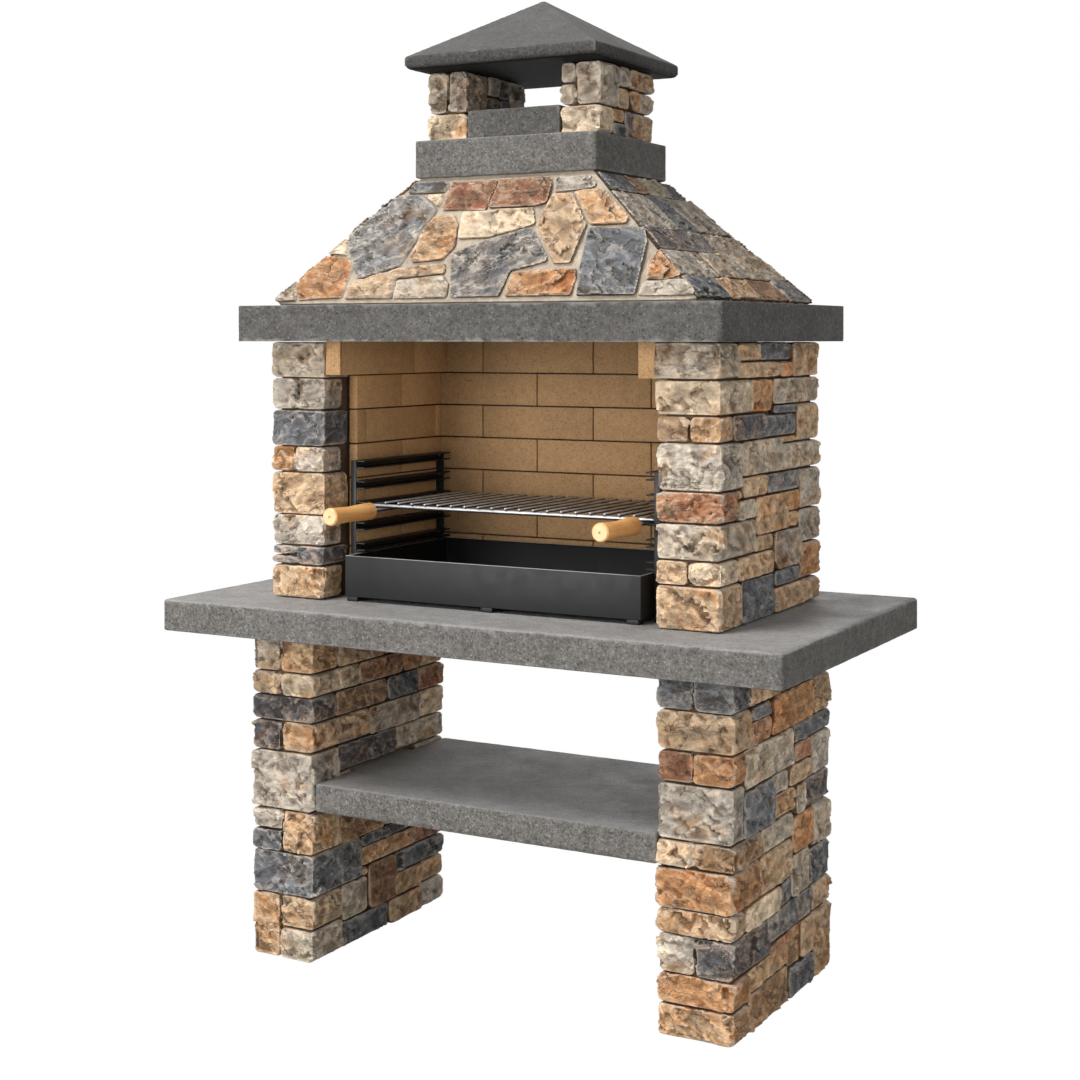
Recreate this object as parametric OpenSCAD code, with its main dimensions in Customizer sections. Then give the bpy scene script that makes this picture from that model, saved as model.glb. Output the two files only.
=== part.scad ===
// Masonry garden barbecue: stone-clad pillars carry a cast worktop, a firebrick hearth and a
// chimney hood. The grill and the charcoal tray slide out of the hearth towards the front.
// Millimetres, +Z up, front towards -Y, origin on the floor under the middle of the worktop.

/* [Worktop and shelf] */
// Width of the cast worktop
worktop_w = 1500; // [1300:10:1800]
// Depth of the cast worktop
worktop_d = 850; // [800:10:1000]
// Thickness of the worktop
worktop_t = 72; // [50:1:100]
// Radius of the upright corners of the cast slabs
slab_r = 8; // [2:1:20]
// Height of the underside of the shelf over the floor
shelf_z = 344; // [250:1:450]
// Thickness of the shelf
shelf_t = 63; // [45:1:80]
// Depth of the shelf
shelf_d = 550; // [450:5:560]
// Distance that the shelf's tongues run into the pillars' cores
shelf_bearing = 20; // [10:1:40]
// Depth of each shelf tongue, front to back
tongue_d = 240; // [120:10:300]
// Clearance round a tongue, above and beside it
tongue_clear = 2; // [1:0.5:5]

/* [Lower pillars] */
// Height of the lower pillars
lower_h = 747; // [650:1:850]
// Width of each lower pillar
lower_w = 172; // [140:1:220]
// Depth of the lower pillars
lower_d = 562; // [480:1:640]
// Clear opening between the lower pillars
lower_gap = 852; // [760:1:960]
// Distance from the lower pillars' middle to the worktop's middle, towards the front
lower_shift = 14; // [-30:1:30]

/* [Upper pillars] */
// Height of the upper pillars, which is the height of the hearth
upper_h = 586; // [500:1:700]
// Width of each upper pillar
upper_w = 149; // [130:1:180]
// Depth of the upper pillars
upper_d = 570; // [500:1:620]
// Clear opening between the upper pillars, behind the firebricks
upper_gap = 824; // [760:1:900]
// Distance from the upper pillars' middle to the worktop's middle, towards the back
upper_shift = 14; // [-30:1:30]

/* [Stonework] */
// Width of the joint between two stones
stone_joint = 4; // [2:0.5:8]
// Size of a stone's cut corners
stone_cut = 9; // [4:0.5:14]
// Greatest distance that a stone's face stands back
face_relief = 6; // [2:0.5:10]
// Thickness of the side facing stones
clad_t = 32; // [24:1:45]
// Least depth of the corner blocks in the pillars' front and back
quoin_d = 74; // [60:1:90]
// Extra depth of every other corner block
quoin_step = 22; // [0:1:30]
// Least height of a course whose side stones may be stacked in two
stacked_h = 66; // [50:1:80]
// Least height of a course whose side stones are all stacked in two
all_stacked_h = 90; // [80:1:130]

/* [Firebricks] */
// Length of a firebrick
brick_l = 300; // [200:1:320]
// Height of a firebrick
brick_h = 76; // [50:1:90]
// Thickness of the side firebricks
brick_side_t = 22; // [18:1:30]
// Thickness of the back firebricks
brick_back_t = 30; // [20:1:50]
// Joint between two firebricks
brick_joint = 3; // [2:0.5:6]
// Distance that the top course stands out of the side walls
corbel = 18; // [10:1:30]
// Thickness of the bricks of the top course
corbel_t = 24; // [20:1:34]
// Thickness of the cast rear wall behind the firebricks
rear_wall_t = 70; // [40:1:80]
// Place of an upright joint in the back wall, from the middle
back_bond = 35; // [0:1:150]
// Place of an upright joint in the side walls, from the worktop's middle
side_bond = 172; // [20:1:180]
// Place of an upright joint in the top course of the side walls
corbel_bond = 50; // [20:1:150]

/* [Hood] */
// Width of the slab that carries the hood
hood_slab_w = 1192; // [1150:2:1300]
// Depth of the slab that carries the hood
hood_slab_d = 712; // [660:2:800]
// Thickness of the slab that carries the hood
hood_slab_t = 81; // [60:1:100]
// Width of the flue opening in the slab
flue_w = 640; // [400:10:700]
// Depth of the flue opening in the slab
flue_d = 340; // [240:10:360]
// Height of the sloping hood
hood_h = 286; // [220:1:400]
// Distance from the worktop's middle to the slab's middle, towards the back
hood_shift = 6; // [-20:1:20]
// Width of the hood's mortar shell at its foot
hood_w = 1030; // [980:2:1100]
// Depth of the hood's mortar shell at its foot
hood_d = 632; // [580:2:660]
// Distance from the slab's middle to the shell's middle, towards the back
hood_foot_shift = 15; // [0:1:20]
// Distance from the chimney slab's sides to the head of the shell
head_in_w = 22; // [15:1:40]
// Distance from the chimney slab's front and back to the head of the shell
head_in_d = 19; // [15:1:40]
// Wall of the mortar shell
hood_wall = 45; // [30:1:60]
// Thickness of the flagstones on the hood
flag_t = 16; // [10:1:24]

/* [Chimney] */
// Width of the slab under the chimney
chimney_slab_w = 460; // [440:2:520]
// Depth of the slab under the chimney
chimney_slab_d = 362; // [340:2:420]
// Thickness of the slab under the chimney
chimney_slab_t = 85; // [60:1:110]
// Distance from the worktop's middle to the chimney's middle, towards the back
chimney_shift = 3; // [-20:1:20]
// Width of the smoke hole in the slab
smoke_w = 210; // [150:2:230]
// Depth of the smoke hole in the slab
smoke_d = 150; // [100:2:156]
// Height of the chimney's stone piers
pier_h = 159; // [120:1:240]
// Width of each pier
pier_w = 102; // [90:1:120]
// Depth of the piers
pier_d = 276; // [250:2:330]
// Clear opening between the piers
pier_gap = 236; // [200:2:260]
// Thickness of the facing stones on the piers' sides
pier_clad_t = 26; // [20:1:32]
// Least depth of the corner blocks of the piers
pier_quoin_d = 69; // [50:1:80]
// Extra depth of every other corner block of the piers
pier_quoin_step = 31; // [0:1:40]
// Height of the two cast sills between the piers
sill_h = 67; // [40:1:90]
// Thickness of the sills
sill_t = 55; // [35:1:60]
// Width of the chimney cap
cap_w = 482; // [460:2:560]
// Depth of the chimney cap
cap_d = 426; // [400:2:480]
// Height of the cap's upright edge
cap_edge = 28; // [15:1:50]
// Rise of the cap's point over its edge
cap_rise = 140; // [80:1:200]
// Chamfer along the foot of the cap's edge
cap_chamfer = 7; // [3:0.5:12]
// Distance from the chimney's middle to the cap's middle, towards the back
cap_shift = 8; // [-20:1:20]

/* [Grill rails] */
// Number of levels for the grill
rail_levels = 5; // [3:1:5]
// Distance between two levels
rail_pitch = 47; // [42:1:50]
// Height of the lowest level over the worktop
rail_first = 116; // [112:1:120]
// Level that the grill stands on, counted from the lowest as 0
grill_level = 2; // [0:1:2]
// Height of a rail
rail_h = 18; // [16:0.5:22]
// Width of a rail's flanges, out from the firebricks
rail_w = 35; // [30:1:40]
// Thickness of the rails' and posts' sheet
rail_t = 3; // [2:0.5:4]
// Width of a post's legs
post_w = 14; // [12:0.5:18]
// Distance from the pillars' front to the front posts
post_set_back = 75; // [70:1:90]
// Distance from the back firebricks to the back posts
post_back_gap = 9; // [4:1:20]
// Diameter of a bolt's head
bolt_d = 4.4; // [3:0.1:5]
// Height of a bolt's head
bolt_h = 2; // [1:0.1:3]
// Clearance between a bolt's head and a rail's flange
bolt_gap = 0.3; // [0.2:0.1:1]

/* [Grill] */
// Diameter of the frame's rods
frame_rod_d = 9; // [7:0.5:10]
// Diameter of the bars
bar_d = 6; // [4:0.5:8]
// Distance between two bars
bar_pitch = 35; // [20:1:40]
// Depth of the frame, front rod to back rod
grill_d = 335; // [300:1:340]
// Clearance between the frame's side rods and the rails' webs
frame_side_gap = 14; // [9:0.5:18]
// Distance from the back firebricks to the frame's back rod
grill_back_gap = 15; // [8:1:30]
// Distance that the bars run on past the frame's rods
bar_over = 6; // [0:0.5:10]
// Clearance between a sliding piece and what carries it
run_gap = 0.3; // [0.2:0.1:1]
// Length of the wooden handles
handle_l = 160; // [110:1:180]
// Diameter of the handles' ends
handle_d = 39; // [28:0.5:42]
// Diameter of the handles' waist
handle_waist_d = 34; // [24:0.5:38]
// Distance from a handle's axis to the frame's side rod
handle_in = 33; // [30:1:50]
// Gap between a handle and the frame's front rod
handle_gap = 40; // [20:1:60]
// Diameter of the rod that carries a handle
handle_rod_d = 8; // [6:0.5:9]
// Distance that the rod runs back under the bars
handle_rod_back = 120; // [60:5:200]
// Depth of the bore in a handle
handle_bore_l = 110; // [60:1:120]
// Clearance of the rod in the handle's bore, all round
handle_bore_clear = 0.1; // [0.05:0.05:0.3]
// Room past the rod's end in the bore
handle_bore_end = 6; // [1:0.5:12]
// Size of the rounded edge at a handle's front end
handle_round = 3; // [1:0.5:5]

/* [Charcoal tray] */
// Clearance between the tray and the rails' posts, each side
tray_side_gap = 6; // [3:0.5:40]
// Depth of the tray
tray_d = 435; // [380:1:440]
// Height of the tray's walls
tray_h = 92; // [60:1:92]
// Thickness of the tray's sheet
tray_t = 3; // [2:0.5:4]
// Width of the folded lip along the tray's top
lip_w = 5; // [4:0.5:8]
// Height of the tray's feet
foot_h = 10; // [6:0.5:12]
// Size of a foot, each way
foot_w = 28; // [20:1:40]
// Distance from the back firebricks to the tray
tray_back_gap = 6; // [4:1:20]

/* [Hidden] */
$fn = 48;
e = 1;

// Colours
concrete = "dimgray";
mortar = "tan";
stone_colours = ["rosybrown", "slategray", "burlywood", "peru", "darkgray", "sienna"];
firebrick = "burlywood";
black_steel = [0.12, 0.12, 0.13];
bright_steel = "silver";
beech = "sandybrown";

// Heights, from the floor up
worktop_z = lower_h;
hearth_z = worktop_z + worktop_t;
hood_slab_z = hearth_z + upper_h;
hood_z = hood_slab_z + hood_slab_t;
chimney_slab_z = hood_z + hood_h;
pier_z = chimney_slab_z + chimney_slab_t;
cap_z = pier_z + pier_h;

// Plan: x1 is a pillar's inner face and x2 its outer one, y1 its front and y2 its back
lower_x1 = lower_gap / 2;
lower_x2 = lower_x1 + lower_w;
lower_y1 = -lower_shift - lower_d / 2;
lower_y2 = lower_y1 + lower_d;
upper_x1 = upper_gap / 2;
upper_x2 = upper_x1 + upper_w;
upper_y1 = upper_shift - upper_d / 2;
upper_y2 = upper_y1 + upper_d;
pier_x1 = pier_gap / 2;
pier_x2 = pier_x1 + pier_w;
pier_y1 = chimney_shift - pier_d / 2;
pier_y2 = pier_y1 + pier_d;

shelf_y = (lower_y1 + lower_y2) / 2;
tongue_x = lower_x1 + clad_t + shelf_bearing;

// Heights of the stone courses, from the bottom up, as laid in the front and the back of each
// pillar
lower_left_courses = fitted([145, 97, 97, 133, 68, 58, 54, 95], lower_h);
lower_right_courses = fitted([67, 63, 80, 52, 83, 55, 115, 65, 82, 85], lower_h);
upper_left_courses = fitted([76, 45, 70, 97, 59, 83, 73, 83], upper_h);
upper_right_courses = fitted([91, 51, 75, 65, 99, 55, 73, 77], upper_h);
lower_left_back_courses = fitted([62, 54, 52, 72, 90, 82, 60, 68, 58, 54, 95], lower_h);
lower_right_back_courses = fitted([150, 60, 80, 94, 66, 90, 42, 83, 82], lower_h);
upper_right_back_courses = fitted([57, 81, 76, 90, 61, 85, 58, 78], upper_h);
pier_courses = fitted([63, 96], pier_h);

// Depths of the corner blocks, course by course, for the same pillars
lower_left_depths = fitted_to([122, 200, 112, 108, 228, 97, 195, 102], 562, lower_d);
lower_right_depths = fitted_to([85, 85, 190, 65, 150, 157, 56, 68, 100, 88], 562, lower_d);
upper_right_depths = fitted_to([118, 96, 190, 88, 118, 66, 172, 93], 570, upper_d);
lower_left_back_depths = fitted_to([100, 97, 217, 132, 92, 122, 210, 110, 115, 102, 100], 562,
    lower_d);
lower_right_back_depths = fitted_to([110, 110, 124, 97, 155, 115, 217, 107, 107], 562, lower_d);
upper_right_back_depths = fitted_to([92, 124, 124, 118, 222, 136, 88, 88], 570, upper_d);
pier_front = [pier_quoin_d, pier_quoin_d + pier_quoin_step];
pier_back = [pier_quoin_d + pier_quoin_step, pier_quoin_d];

// Stones of each course's front, from left to right: [share of the width, stones stacked there]
whole = [[1, 1]];
lower_left_front = [[[45, 1], [55, 2]], whole, [[50, 2], [50, 1]], whole, [[48, 1], [52, 1]],
    whole, [[46, 1], [54, 1]], [[46, 1], [54, 1]]];
lower_right_front = [whole, whole, [[49, 1], [51, 1]], whole, whole, [[48, 1], [52, 1]],
    whole, [[47, 1], [53, 1]], whole, [[47, 1], [53, 1]]];
upper_left_front = [whole, [[46, 2], [54, 1]], whole, whole, [[44, 1], [56, 1]], whole,
    [[45, 1], [55, 1]], whole];
upper_right_front = [whole, [[50, 1], [50, 1]], whole, whole, whole, [[50, 1], [50, 1]],
    whole, whole];
left_pier_front = [whole, [[1, 1], [1, 1]]];
right_pier_front = [whole, [[38, 2], [62, 1]]];

// Facing stones of a pillar's side, as laid on a face of the size given first: the near and low
// corner of each, then the far and high one, counted from the pillar's front and foot
lower_face = [562, 747];
upper_face = [570, 586];
lower_left_stones = [[122, 0, 315, 60], [315, 0, 462, 60], [122, 60, 230, 145],
    [230, 60, 345, 168], [345, 60, 465, 116], [200, 145, 230, 168], [200, 168, 430, 214],
    [200, 214, 430, 242], [112, 242, 300, 339], [300, 242, 470, 330], [108, 339, 159, 412],
    [108, 412, 352, 472], [228, 472, 452, 540], [97, 540, 310, 598], [310, 540, 447, 598],
    [195, 598, 385, 652], [385, 598, 460, 652], [102, 652, 300, 747], [300, 652, 462, 747]];
lower_right_stones = [[85, 0, 308, 80], [308, 0, 452, 68], [85, 80, 308, 130],
    [190, 130, 308, 150], [308, 68, 376, 150], [376, 68, 452, 150], [190, 150, 452, 210],
    [65, 210, 262, 262], [262, 210, 330, 262], [330, 210, 438, 302], [150, 262, 330, 345],
    [342, 302, 465, 384], [56, 400, 218, 497], [218, 400, 352, 452],
    [352, 384, 407, 450], [218, 452, 312, 497], [312, 452, 447, 497], [68, 497, 345, 580],
    [345, 497, 447, 540], [100, 580, 212, 630], [100, 630, 212, 662], [212, 582, 455, 665],
    [88, 662, 270, 747], [270, 665, 455, 747]];
upper_right_stones = [[118, 0, 299, 91], [299, 0, 478, 57], [299, 57, 446, 94],
    [96, 91, 299, 142], [299, 94, 446, 178], [190, 142, 299, 178], [190, 178, 380, 260],
    [380, 178, 446, 214], [88, 217, 190, 260], [380, 214, 452, 260], [88, 260, 118, 282],
    [118, 260, 260, 306], [260, 260, 452, 304], [118, 306, 348, 381], [348, 365, 434, 381],
    [66, 381, 240, 436], [240, 381, 434, 430], [290, 430, 434, 450], [172, 436, 290, 508],
    [290, 450, 482, 508], [93, 509, 330, 545], [330, 508, 400, 545], [93, 545, 217, 586],
    [217, 545, 400, 586], [400, 508, 482, 586]];
// Greatest cut corner of a thin stone, as a share of its least side
thin_cut = 0.4;
// Stones in the shelf tongue's place, on the side without a shelf
lower_left_more = [[159, 339, 290, 412], [290, 339, 440, 412]];
lower_right_more = [[157, 345, 342, 400]];

// Hearth: faces of the firebricks
side_face = upper_x1 - brick_side_t;
corbel_face = side_face - corbel;
corbel_back = corbel_face + corbel_t;
brick_front = upper_y1 + quoin_d + quoin_step + stone_joint;
brick_step = brick_h + brick_joint;
back_face = upper_y2 - rear_wall_t - brick_back_t - face_relief;
corbel_z = hood_slab_z - brick_step;
brick_rows = ceil(upper_h / brick_step) - 1;

// Hood: half sizes of the mortar shell at its foot and its head, and its slopes
hood_foot = [hood_w / 2, hood_d / 2];
hood_foot_y = hood_shift + hood_foot_shift;
hood_head = [chimney_slab_w / 2 - head_in_w, chimney_slab_d / 2 - head_in_d];
front_run = hood_foot[1] - hood_head[1] - (hood_foot_y - chimney_shift);
back_run = hood_foot[1] - hood_head[1] + (hood_foot_y - chimney_shift);
side_run = hood_foot[0] - hood_head[0];

// Rails, grill and tray
rail_back = side_face - rail_t;
rail_tip = side_face - rail_w;
post_h = rail_first + (rail_levels - 1) * rail_pitch + rail_h / 2;
front_post_y = upper_y1 + post_set_back;
back_post_y = back_face - post_back_gap;
rail_y1 = front_post_y + rail_t;
rail_y2 = back_post_y - rail_t;
grill_rail_z = hearth_z + rail_first + grill_level * rail_pitch;
frame_z = grill_rail_z - rail_h / 2 + rail_t + run_gap + frame_rod_d / 2;
frame_x = rail_back - rail_t - frame_side_gap - frame_rod_d / 2;
frame_y2 = back_face - grill_back_gap - frame_rod_d / 2;
frame_y1 = frame_y2 - grill_d;
bar_z = frame_z + (frame_rod_d + bar_d) / 2;
bar_count = 2 * floor((frame_x - frame_rod_d - bar_pitch / 2) / bar_pitch) + 1;
handle_x = frame_x - handle_in;
handle_z = frame_z - (frame_rod_d + handle_rod_d) / 2;
handle_y2 = frame_y1 - handle_gap;
handle_y1 = handle_y2 - handle_l;
handle_rod_y1 = handle_y2 - handle_bore_l + handle_bore_end;
tray_w = 2 * (side_face - post_w - tray_side_gap);
tray_y2 = back_face - tray_back_gap;
tray_y1 = tray_y2 - tray_d;
tray_z = hearth_z + run_gap + foot_h;

function total(v, n = -1, i = 0) = i == (n < 0 ? len(v) : n) ? 0 : v[i] + total(v, n, i + 1);
function fitted(v, size) = [for (h = v) h * size / total(v)];
function fitted_to(v, from, size) = [for (h = v) h * size / from];
function shares(parts) = [for (p = parts) p[0]];
// A steady spread of values between 0 and 1, so that no two stones are quite alike
function vary(a, b) = (sin(a * 137.5 + b * 61.3) + 1) / 2;
// Stones of a facing's course: the taller a course is, the more of its stones are split in two
function mixed(h, key) = [for (j = [0:3]) [60 + 75 * vary(key, 3 * j),
    h > all_stacked_h ? 2 : h > stacked_h ? 1 + round(vary(5 * j, key)) : 1]];
// Depth of the corner blocks in course i
function quoin(i) = quoin_d + quoin_step * (i % 2);
function quoins(courses, flip = 0) = [for (i = [0:len(courses) - 1]) quoin(i + flip)];

// One dressed stone: its outline has four cut corners, less where the stone is thin, its face
// stands back a little, and half a joint is left all round it
module stone(w, d, h, a, b) {
    back = face_relief * vary(b, a);
    sw = w - stone_joint;
    sh = h - stone_joint;
    most = thin_cut * min(sw, sh);
    c = [for (k = [0:3]) min(most, stone_cut * (0.45 + 0.55 * vary(a + k, b)))];
    color(stone_colours[round(5 * vary(3 * a, 7 * b))])
        translate([stone_joint / 2, d, stone_joint / 2])
            rotate([90, 0, 0])
                linear_extrude(d - back)
                    polygon([[c[0], 0], [sw - c[1], 0], [sw, c[1]], [sw, sh - c[2]],
                        [sw - c[2], sh], [c[3], sh], [0, sh - c[3]], [0, c[0]]]);
}

// The stones of one course in one face, laid from x = 0 with their faces at y = 0
module course(w, d, h, parts, key) {
    for (j = [0:len(parts) - 1])
        for (s = [0:parts[j][1] - 1])
            translate([w * total(shares(parts), j) / total(shares(parts)), 0, h * s / parts[j][1]])
                stone(w * parts[j][0] / total(shares(parts)), d, h / parts[j][1],
                    key + s, 4 * j + s);
}

// Front or back blocks of a pillar: every block is as deep as its corner depth
module blocks(w, courses, depths, parts, key, lead = 0, tail = 0) {
    top = len(courses) - 1;
    for (i = [0:top])
        translate([i == top ? -lead : 0, 0, total(courses, i)])
            course(w + (i == top ? lead + tail : 0), depths[i], courses[i], parts[i],
                key + 11 * i);
}

// Side facing of a pillar, between its front and back blocks
module facing(d, courses, front, back, key) {
    for (i = [0:len(courses) - 1])
        translate([front[i], 0, total(courses, i)])
            course(d - front[i] - back[i], clad_t, courses[i], mixed(courses[i], key + 7 * i),
                key + 13 * i);
}

// Core of a pillar: it fills the courses behind the blocks and the facing, round one spine
module core(x1, x2, y1, d, courses, front, back_courses, back) {
    middle = (d + max(front) - max(back)) / 2;
    translate([x1, y1 + max(front), 0]) cube([x2 - x1, d - max(front) - max(back), total(courses)]);
    for (i = [0:len(courses) - 1])
        translate([x1, y1 + front[i], total(courses, i)])
            cube([x2 - x1, middle - front[i], courses[i]]);
    for (i = [0:len(back_courses) - 1])
        translate([x1, y1 + middle, total(back_courses, i)])
            cube([x2 - x1, d - middle - back[i], back_courses[i]]);
}

// Facing stones laid as drawn: a list of corners on a face of the given size
module drawn(stones, face, w, h, key) {
    for (i = [0:len(stones) - 1]) {
        s = stones[i];
        translate([s[0] * w / face[0], 0, s[1] * h / face[1]])
            stone((s[2] - s[0]) * w / face[0], clad_t, (s[3] - s[1]) * h / face[1], key + i, i);
    }
}

// The same stones on the side that looks towards +X, or mirrored on the other one
module drawn_side(x, y1, plus_x, stones, face, w, h, key) {
    translate([x, y1, 0])
        if (plus_x) rotate(90) drawn(stones, face, w, h, key);
        else mirror([1, 0, 0]) rotate(90) drawn(stones, face, w, h, key);
}

// A cast slab with rounded upright corners, centred on x = 0
module slab(w, y1, d, t, r = slab_r) {
    linear_extrude(t) {
        translate([-w / 2 + r, y1]) square([w - 2 * r, d]);
        translate([-w / 2, y1 + r]) square([w, d - 2 * r]);
        for (x = [-w / 2 + r, w / 2 - r], y = [y1 + r, y1 + d - r])
            translate([x, y]) circle(r);
    }
}

// A body with four sloping sides: foot and head are half sizes, foot_y and head_y their middles
module frustum(foot, head, foot_y, head_y, h) {
    long = 3 * max(foot);
    intersection() {
        translate([0, long / 2, 0]) rotate([90, 0, 0]) linear_extrude(long)
            polygon([[-foot[0], 0], [foot[0], 0], [head[0], h], [-head[0], h]]);
        translate([-long / 2, 0, 0]) rotate([90, 0, 90]) linear_extrude(long)
            polygon([[foot_y - foot[1], 0], [foot_y + foot[1], 0],
                [head_y + head[1], h], [head_y - head[1], h]]);
    }
}

module mirrored_if(right) {
    if (right) children();
    else mirror([1, 0, 0]) children();
}

// Worktop and shelf
module worktop() {
    color(concrete) translate([0, 0, worktop_z]) slab(worktop_w, -worktop_d / 2, worktop_d, worktop_t);
}

module shelf() {
    color(concrete) translate([0, 0, shelf_z]) {
        slab(lower_gap - stone_joint, shelf_y - shelf_d / 2, shelf_d, shelf_t, slab_r / 4);
        translate([-tongue_x, shelf_y - tongue_d / 2, 0]) cube([2 * tongue_x, tongue_d, shelf_t]);
    }
}

// Room for a tongue; its floor is the shelf's own, so that the tongue bears on it
module tongue_room(below = 0) {
    translate([-tongue_x - tongue_clear, shelf_y - tongue_d / 2 - tongue_clear, shelf_z - below])
        cube([2 * (tongue_x + tongue_clear), tongue_d + 2 * tongue_clear,
            shelf_t + tongue_clear + below]);
}

// Lower pillars
module lower_core(x, courses, depths, back_courses, back_depths) {
    color(mortar) difference() {
        core(x + clad_t, x + lower_w - clad_t, lower_y1, lower_d, courses, depths,
            back_courses, back_depths);
        tongue_room();
    }
}
module lower_left_core() {
    lower_core(-lower_x2, lower_left_courses, lower_left_depths, lower_left_back_courses,
        lower_left_back_depths);
}
module lower_right_core() {
    lower_core(lower_x1, lower_right_courses, lower_right_depths, lower_right_back_courses,
        lower_right_back_depths);
}

module lower_left_front_blocks() {
    translate([-lower_x2, lower_y1, 0])
        blocks(lower_w, lower_left_courses, lower_left_depths, lower_left_front, 1);
}
module lower_right_front_blocks() {
    translate([lower_x1, lower_y1, 0])
        blocks(lower_w, lower_right_courses, lower_right_depths, lower_right_front, 2);
}

// The stones of a pillar's back: whole blocks, with every third course in two
function backs(courses) = [for (i = [0:len(courses) - 1]) i % 3 == 1 ? [[45, 1], [55, 1]] : whole];
module back_blocks(x, y, w, courses, depths, key) {
    translate([x + w, y, 0]) rotate(180) blocks(w, courses, depths, backs(courses), key);
}
module lower_left_back_blocks() {
    back_blocks(-lower_x2, lower_y2, lower_w, lower_left_back_courses, lower_left_back_depths, 3);
}
module lower_right_back_blocks() {
    back_blocks(lower_x1, lower_y2, lower_w, lower_right_back_courses, lower_right_back_depths, 4);
}

module lower_facing(x, plus_x, stones, key) {
    difference() {
        drawn_side(x, lower_y1, plus_x, stones, lower_face, lower_d, lower_h, key);
        if (abs(x) == lower_x1) tongue_room(tongue_clear);
    }
}
module lower_left_outer_facing() {
    lower_facing(-lower_x2, false, concat(lower_left_stones, lower_left_more), 5);
}
module lower_right_outer_facing() {
    lower_facing(lower_x2, true, concat(lower_right_stones, lower_right_more), 6);
}
module lower_left_inner_facing() { lower_facing(-lower_x1, true, lower_left_stones, 7); }
module lower_right_inner_facing() { lower_facing(lower_x1, false, lower_right_stones, 8); }

// Upper pillars: the core also backs the side firebricks and carries their corbelled top course
module upper_core(right, courses, depths, back_courses, back_depths) {
    color(mortar) translate([0, 0, hearth_z]) mirrored_if(right) {
        core(upper_x1, upper_x2 - clad_t, upper_y1, upper_d, courses, depths, back_courses,
            back_depths);
        translate([corbel_back, brick_front, corbel_z - hearth_z])
            cube([upper_x1 - corbel_back + e, back_face + brick_back_t - brick_front, brick_step]);
    }
}
module upper_left_core() {
    upper_core(false, upper_left_courses, quoins(upper_left_courses), upper_left_courses,
        quoins(upper_left_courses, 1));
}
module upper_right_core() {
    upper_core(true, upper_right_courses, upper_right_depths, upper_right_back_courses,
        upper_right_back_depths);
}

// The top front block runs in to the corbelled course
module upper_left_front_blocks() {
    translate([-upper_x2, upper_y1, hearth_z])
        blocks(upper_w, upper_left_courses, quoins(upper_left_courses), upper_left_front, 21,
            0, upper_x1 - corbel_back);
}
module upper_right_front_blocks() {
    translate([upper_x1, upper_y1, hearth_z])
        blocks(upper_w, upper_right_courses, upper_right_depths, upper_right_front, 22,
            upper_x1 - corbel_back, 0);
}

module upper_left_back_blocks() {
    translate([0, 0, hearth_z])
        back_blocks(-upper_x2, upper_y2, upper_w, upper_left_courses,
            quoins(upper_left_courses, 1), 23);
}
module upper_right_back_blocks() {
    translate([0, 0, hearth_z])
        back_blocks(upper_x1, upper_y2, upper_w, upper_right_back_courses,
            upper_right_back_depths, 24);
}

// The left pillar's outer side is laid in its courses, from the back to the front
module upper_left_facing() {
    translate([-upper_x2, upper_y1 + upper_d, hearth_z]) rotate(-90)
        facing(upper_d, upper_left_courses, quoins(upper_left_courses, 1),
            quoins(upper_left_courses), 25);
}
module upper_right_facing() {
    translate([0, 0, hearth_z])
        drawn_side(upper_x2, upper_y1, true, upper_right_stones, upper_face, upper_d, upper_h, 26);
}

// Hearth
module rear_wall() {
    color(concrete) translate([-upper_x1, back_face + brick_back_t, hearth_z])
        cube([upper_gap, rear_wall_t, upper_h]);
}

// Firebricks in running bond, counted down from the hood slab. The wall runs from x1 to x2, shift
// moves its joints, rows are counted from first, and the lowest course is cut at the hearth
module bond(x1, x2, t, first, last, shift) {
    for (row = [first:last]) {
        z2 = hood_slab_z - row * brick_step;
        z1 = max(hearth_z, z2 - brick_h);
        run = brick_l + brick_joint;
        start = shift - (row % 2) * run / 2;
        for (n = [floor((x1 - start) / run):ceil((x2 - start) / run)]) {
            a = max(x1, start + n * run);
            b = min(x2, start + n * run + brick_l);
            if (b - a > brick_joint && z2 - z1 > brick_joint)
                translate([a, 0, z1]) cube([b - a, t, z2 - z1]);
        }
    }
}

module back_firebricks() {
    color(firebrick) translate([0, back_face, 0]) {
        bond(-corbel_back, corbel_back, brick_back_t, 0, 0, back_bond);
        bond(-upper_x1, upper_x1, brick_back_t, 1, brick_rows, back_bond);
    }
}

module side_bricks(right) {
    color(firebrick) mirrored_if(right)
        translate([upper_x1, 0, 0]) rotate(90)
            bond(brick_front, back_face - brick_joint / 2, brick_side_t, 1, brick_rows, side_bond);
}
module left_firebricks() { side_bricks(false); }
module right_firebricks() { side_bricks(true); }

module corbel_bricks(right) {
    color(firebrick) mirrored_if(right)
        translate([corbel_back, 0, 0]) rotate(90)
            bond(upper_y1 + face_relief, back_face - brick_joint / 2, corbel_t, 0, 0, corbel_bond);
}
module left_corbel_bricks() { corbel_bricks(false); }
module right_corbel_bricks() { corbel_bricks(true); }

// Hood
module hood_slab() {
    color(concrete) translate([0, 0, hood_slab_z]) difference() {
        slab(hood_slab_w, hood_shift - hood_slab_d / 2, hood_slab_d, hood_slab_t);
        translate([-flue_w / 2, back_face - flue_d, -e]) cube([flue_w, flue_d, hood_slab_t + 2 * e]);
    }
}

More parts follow.
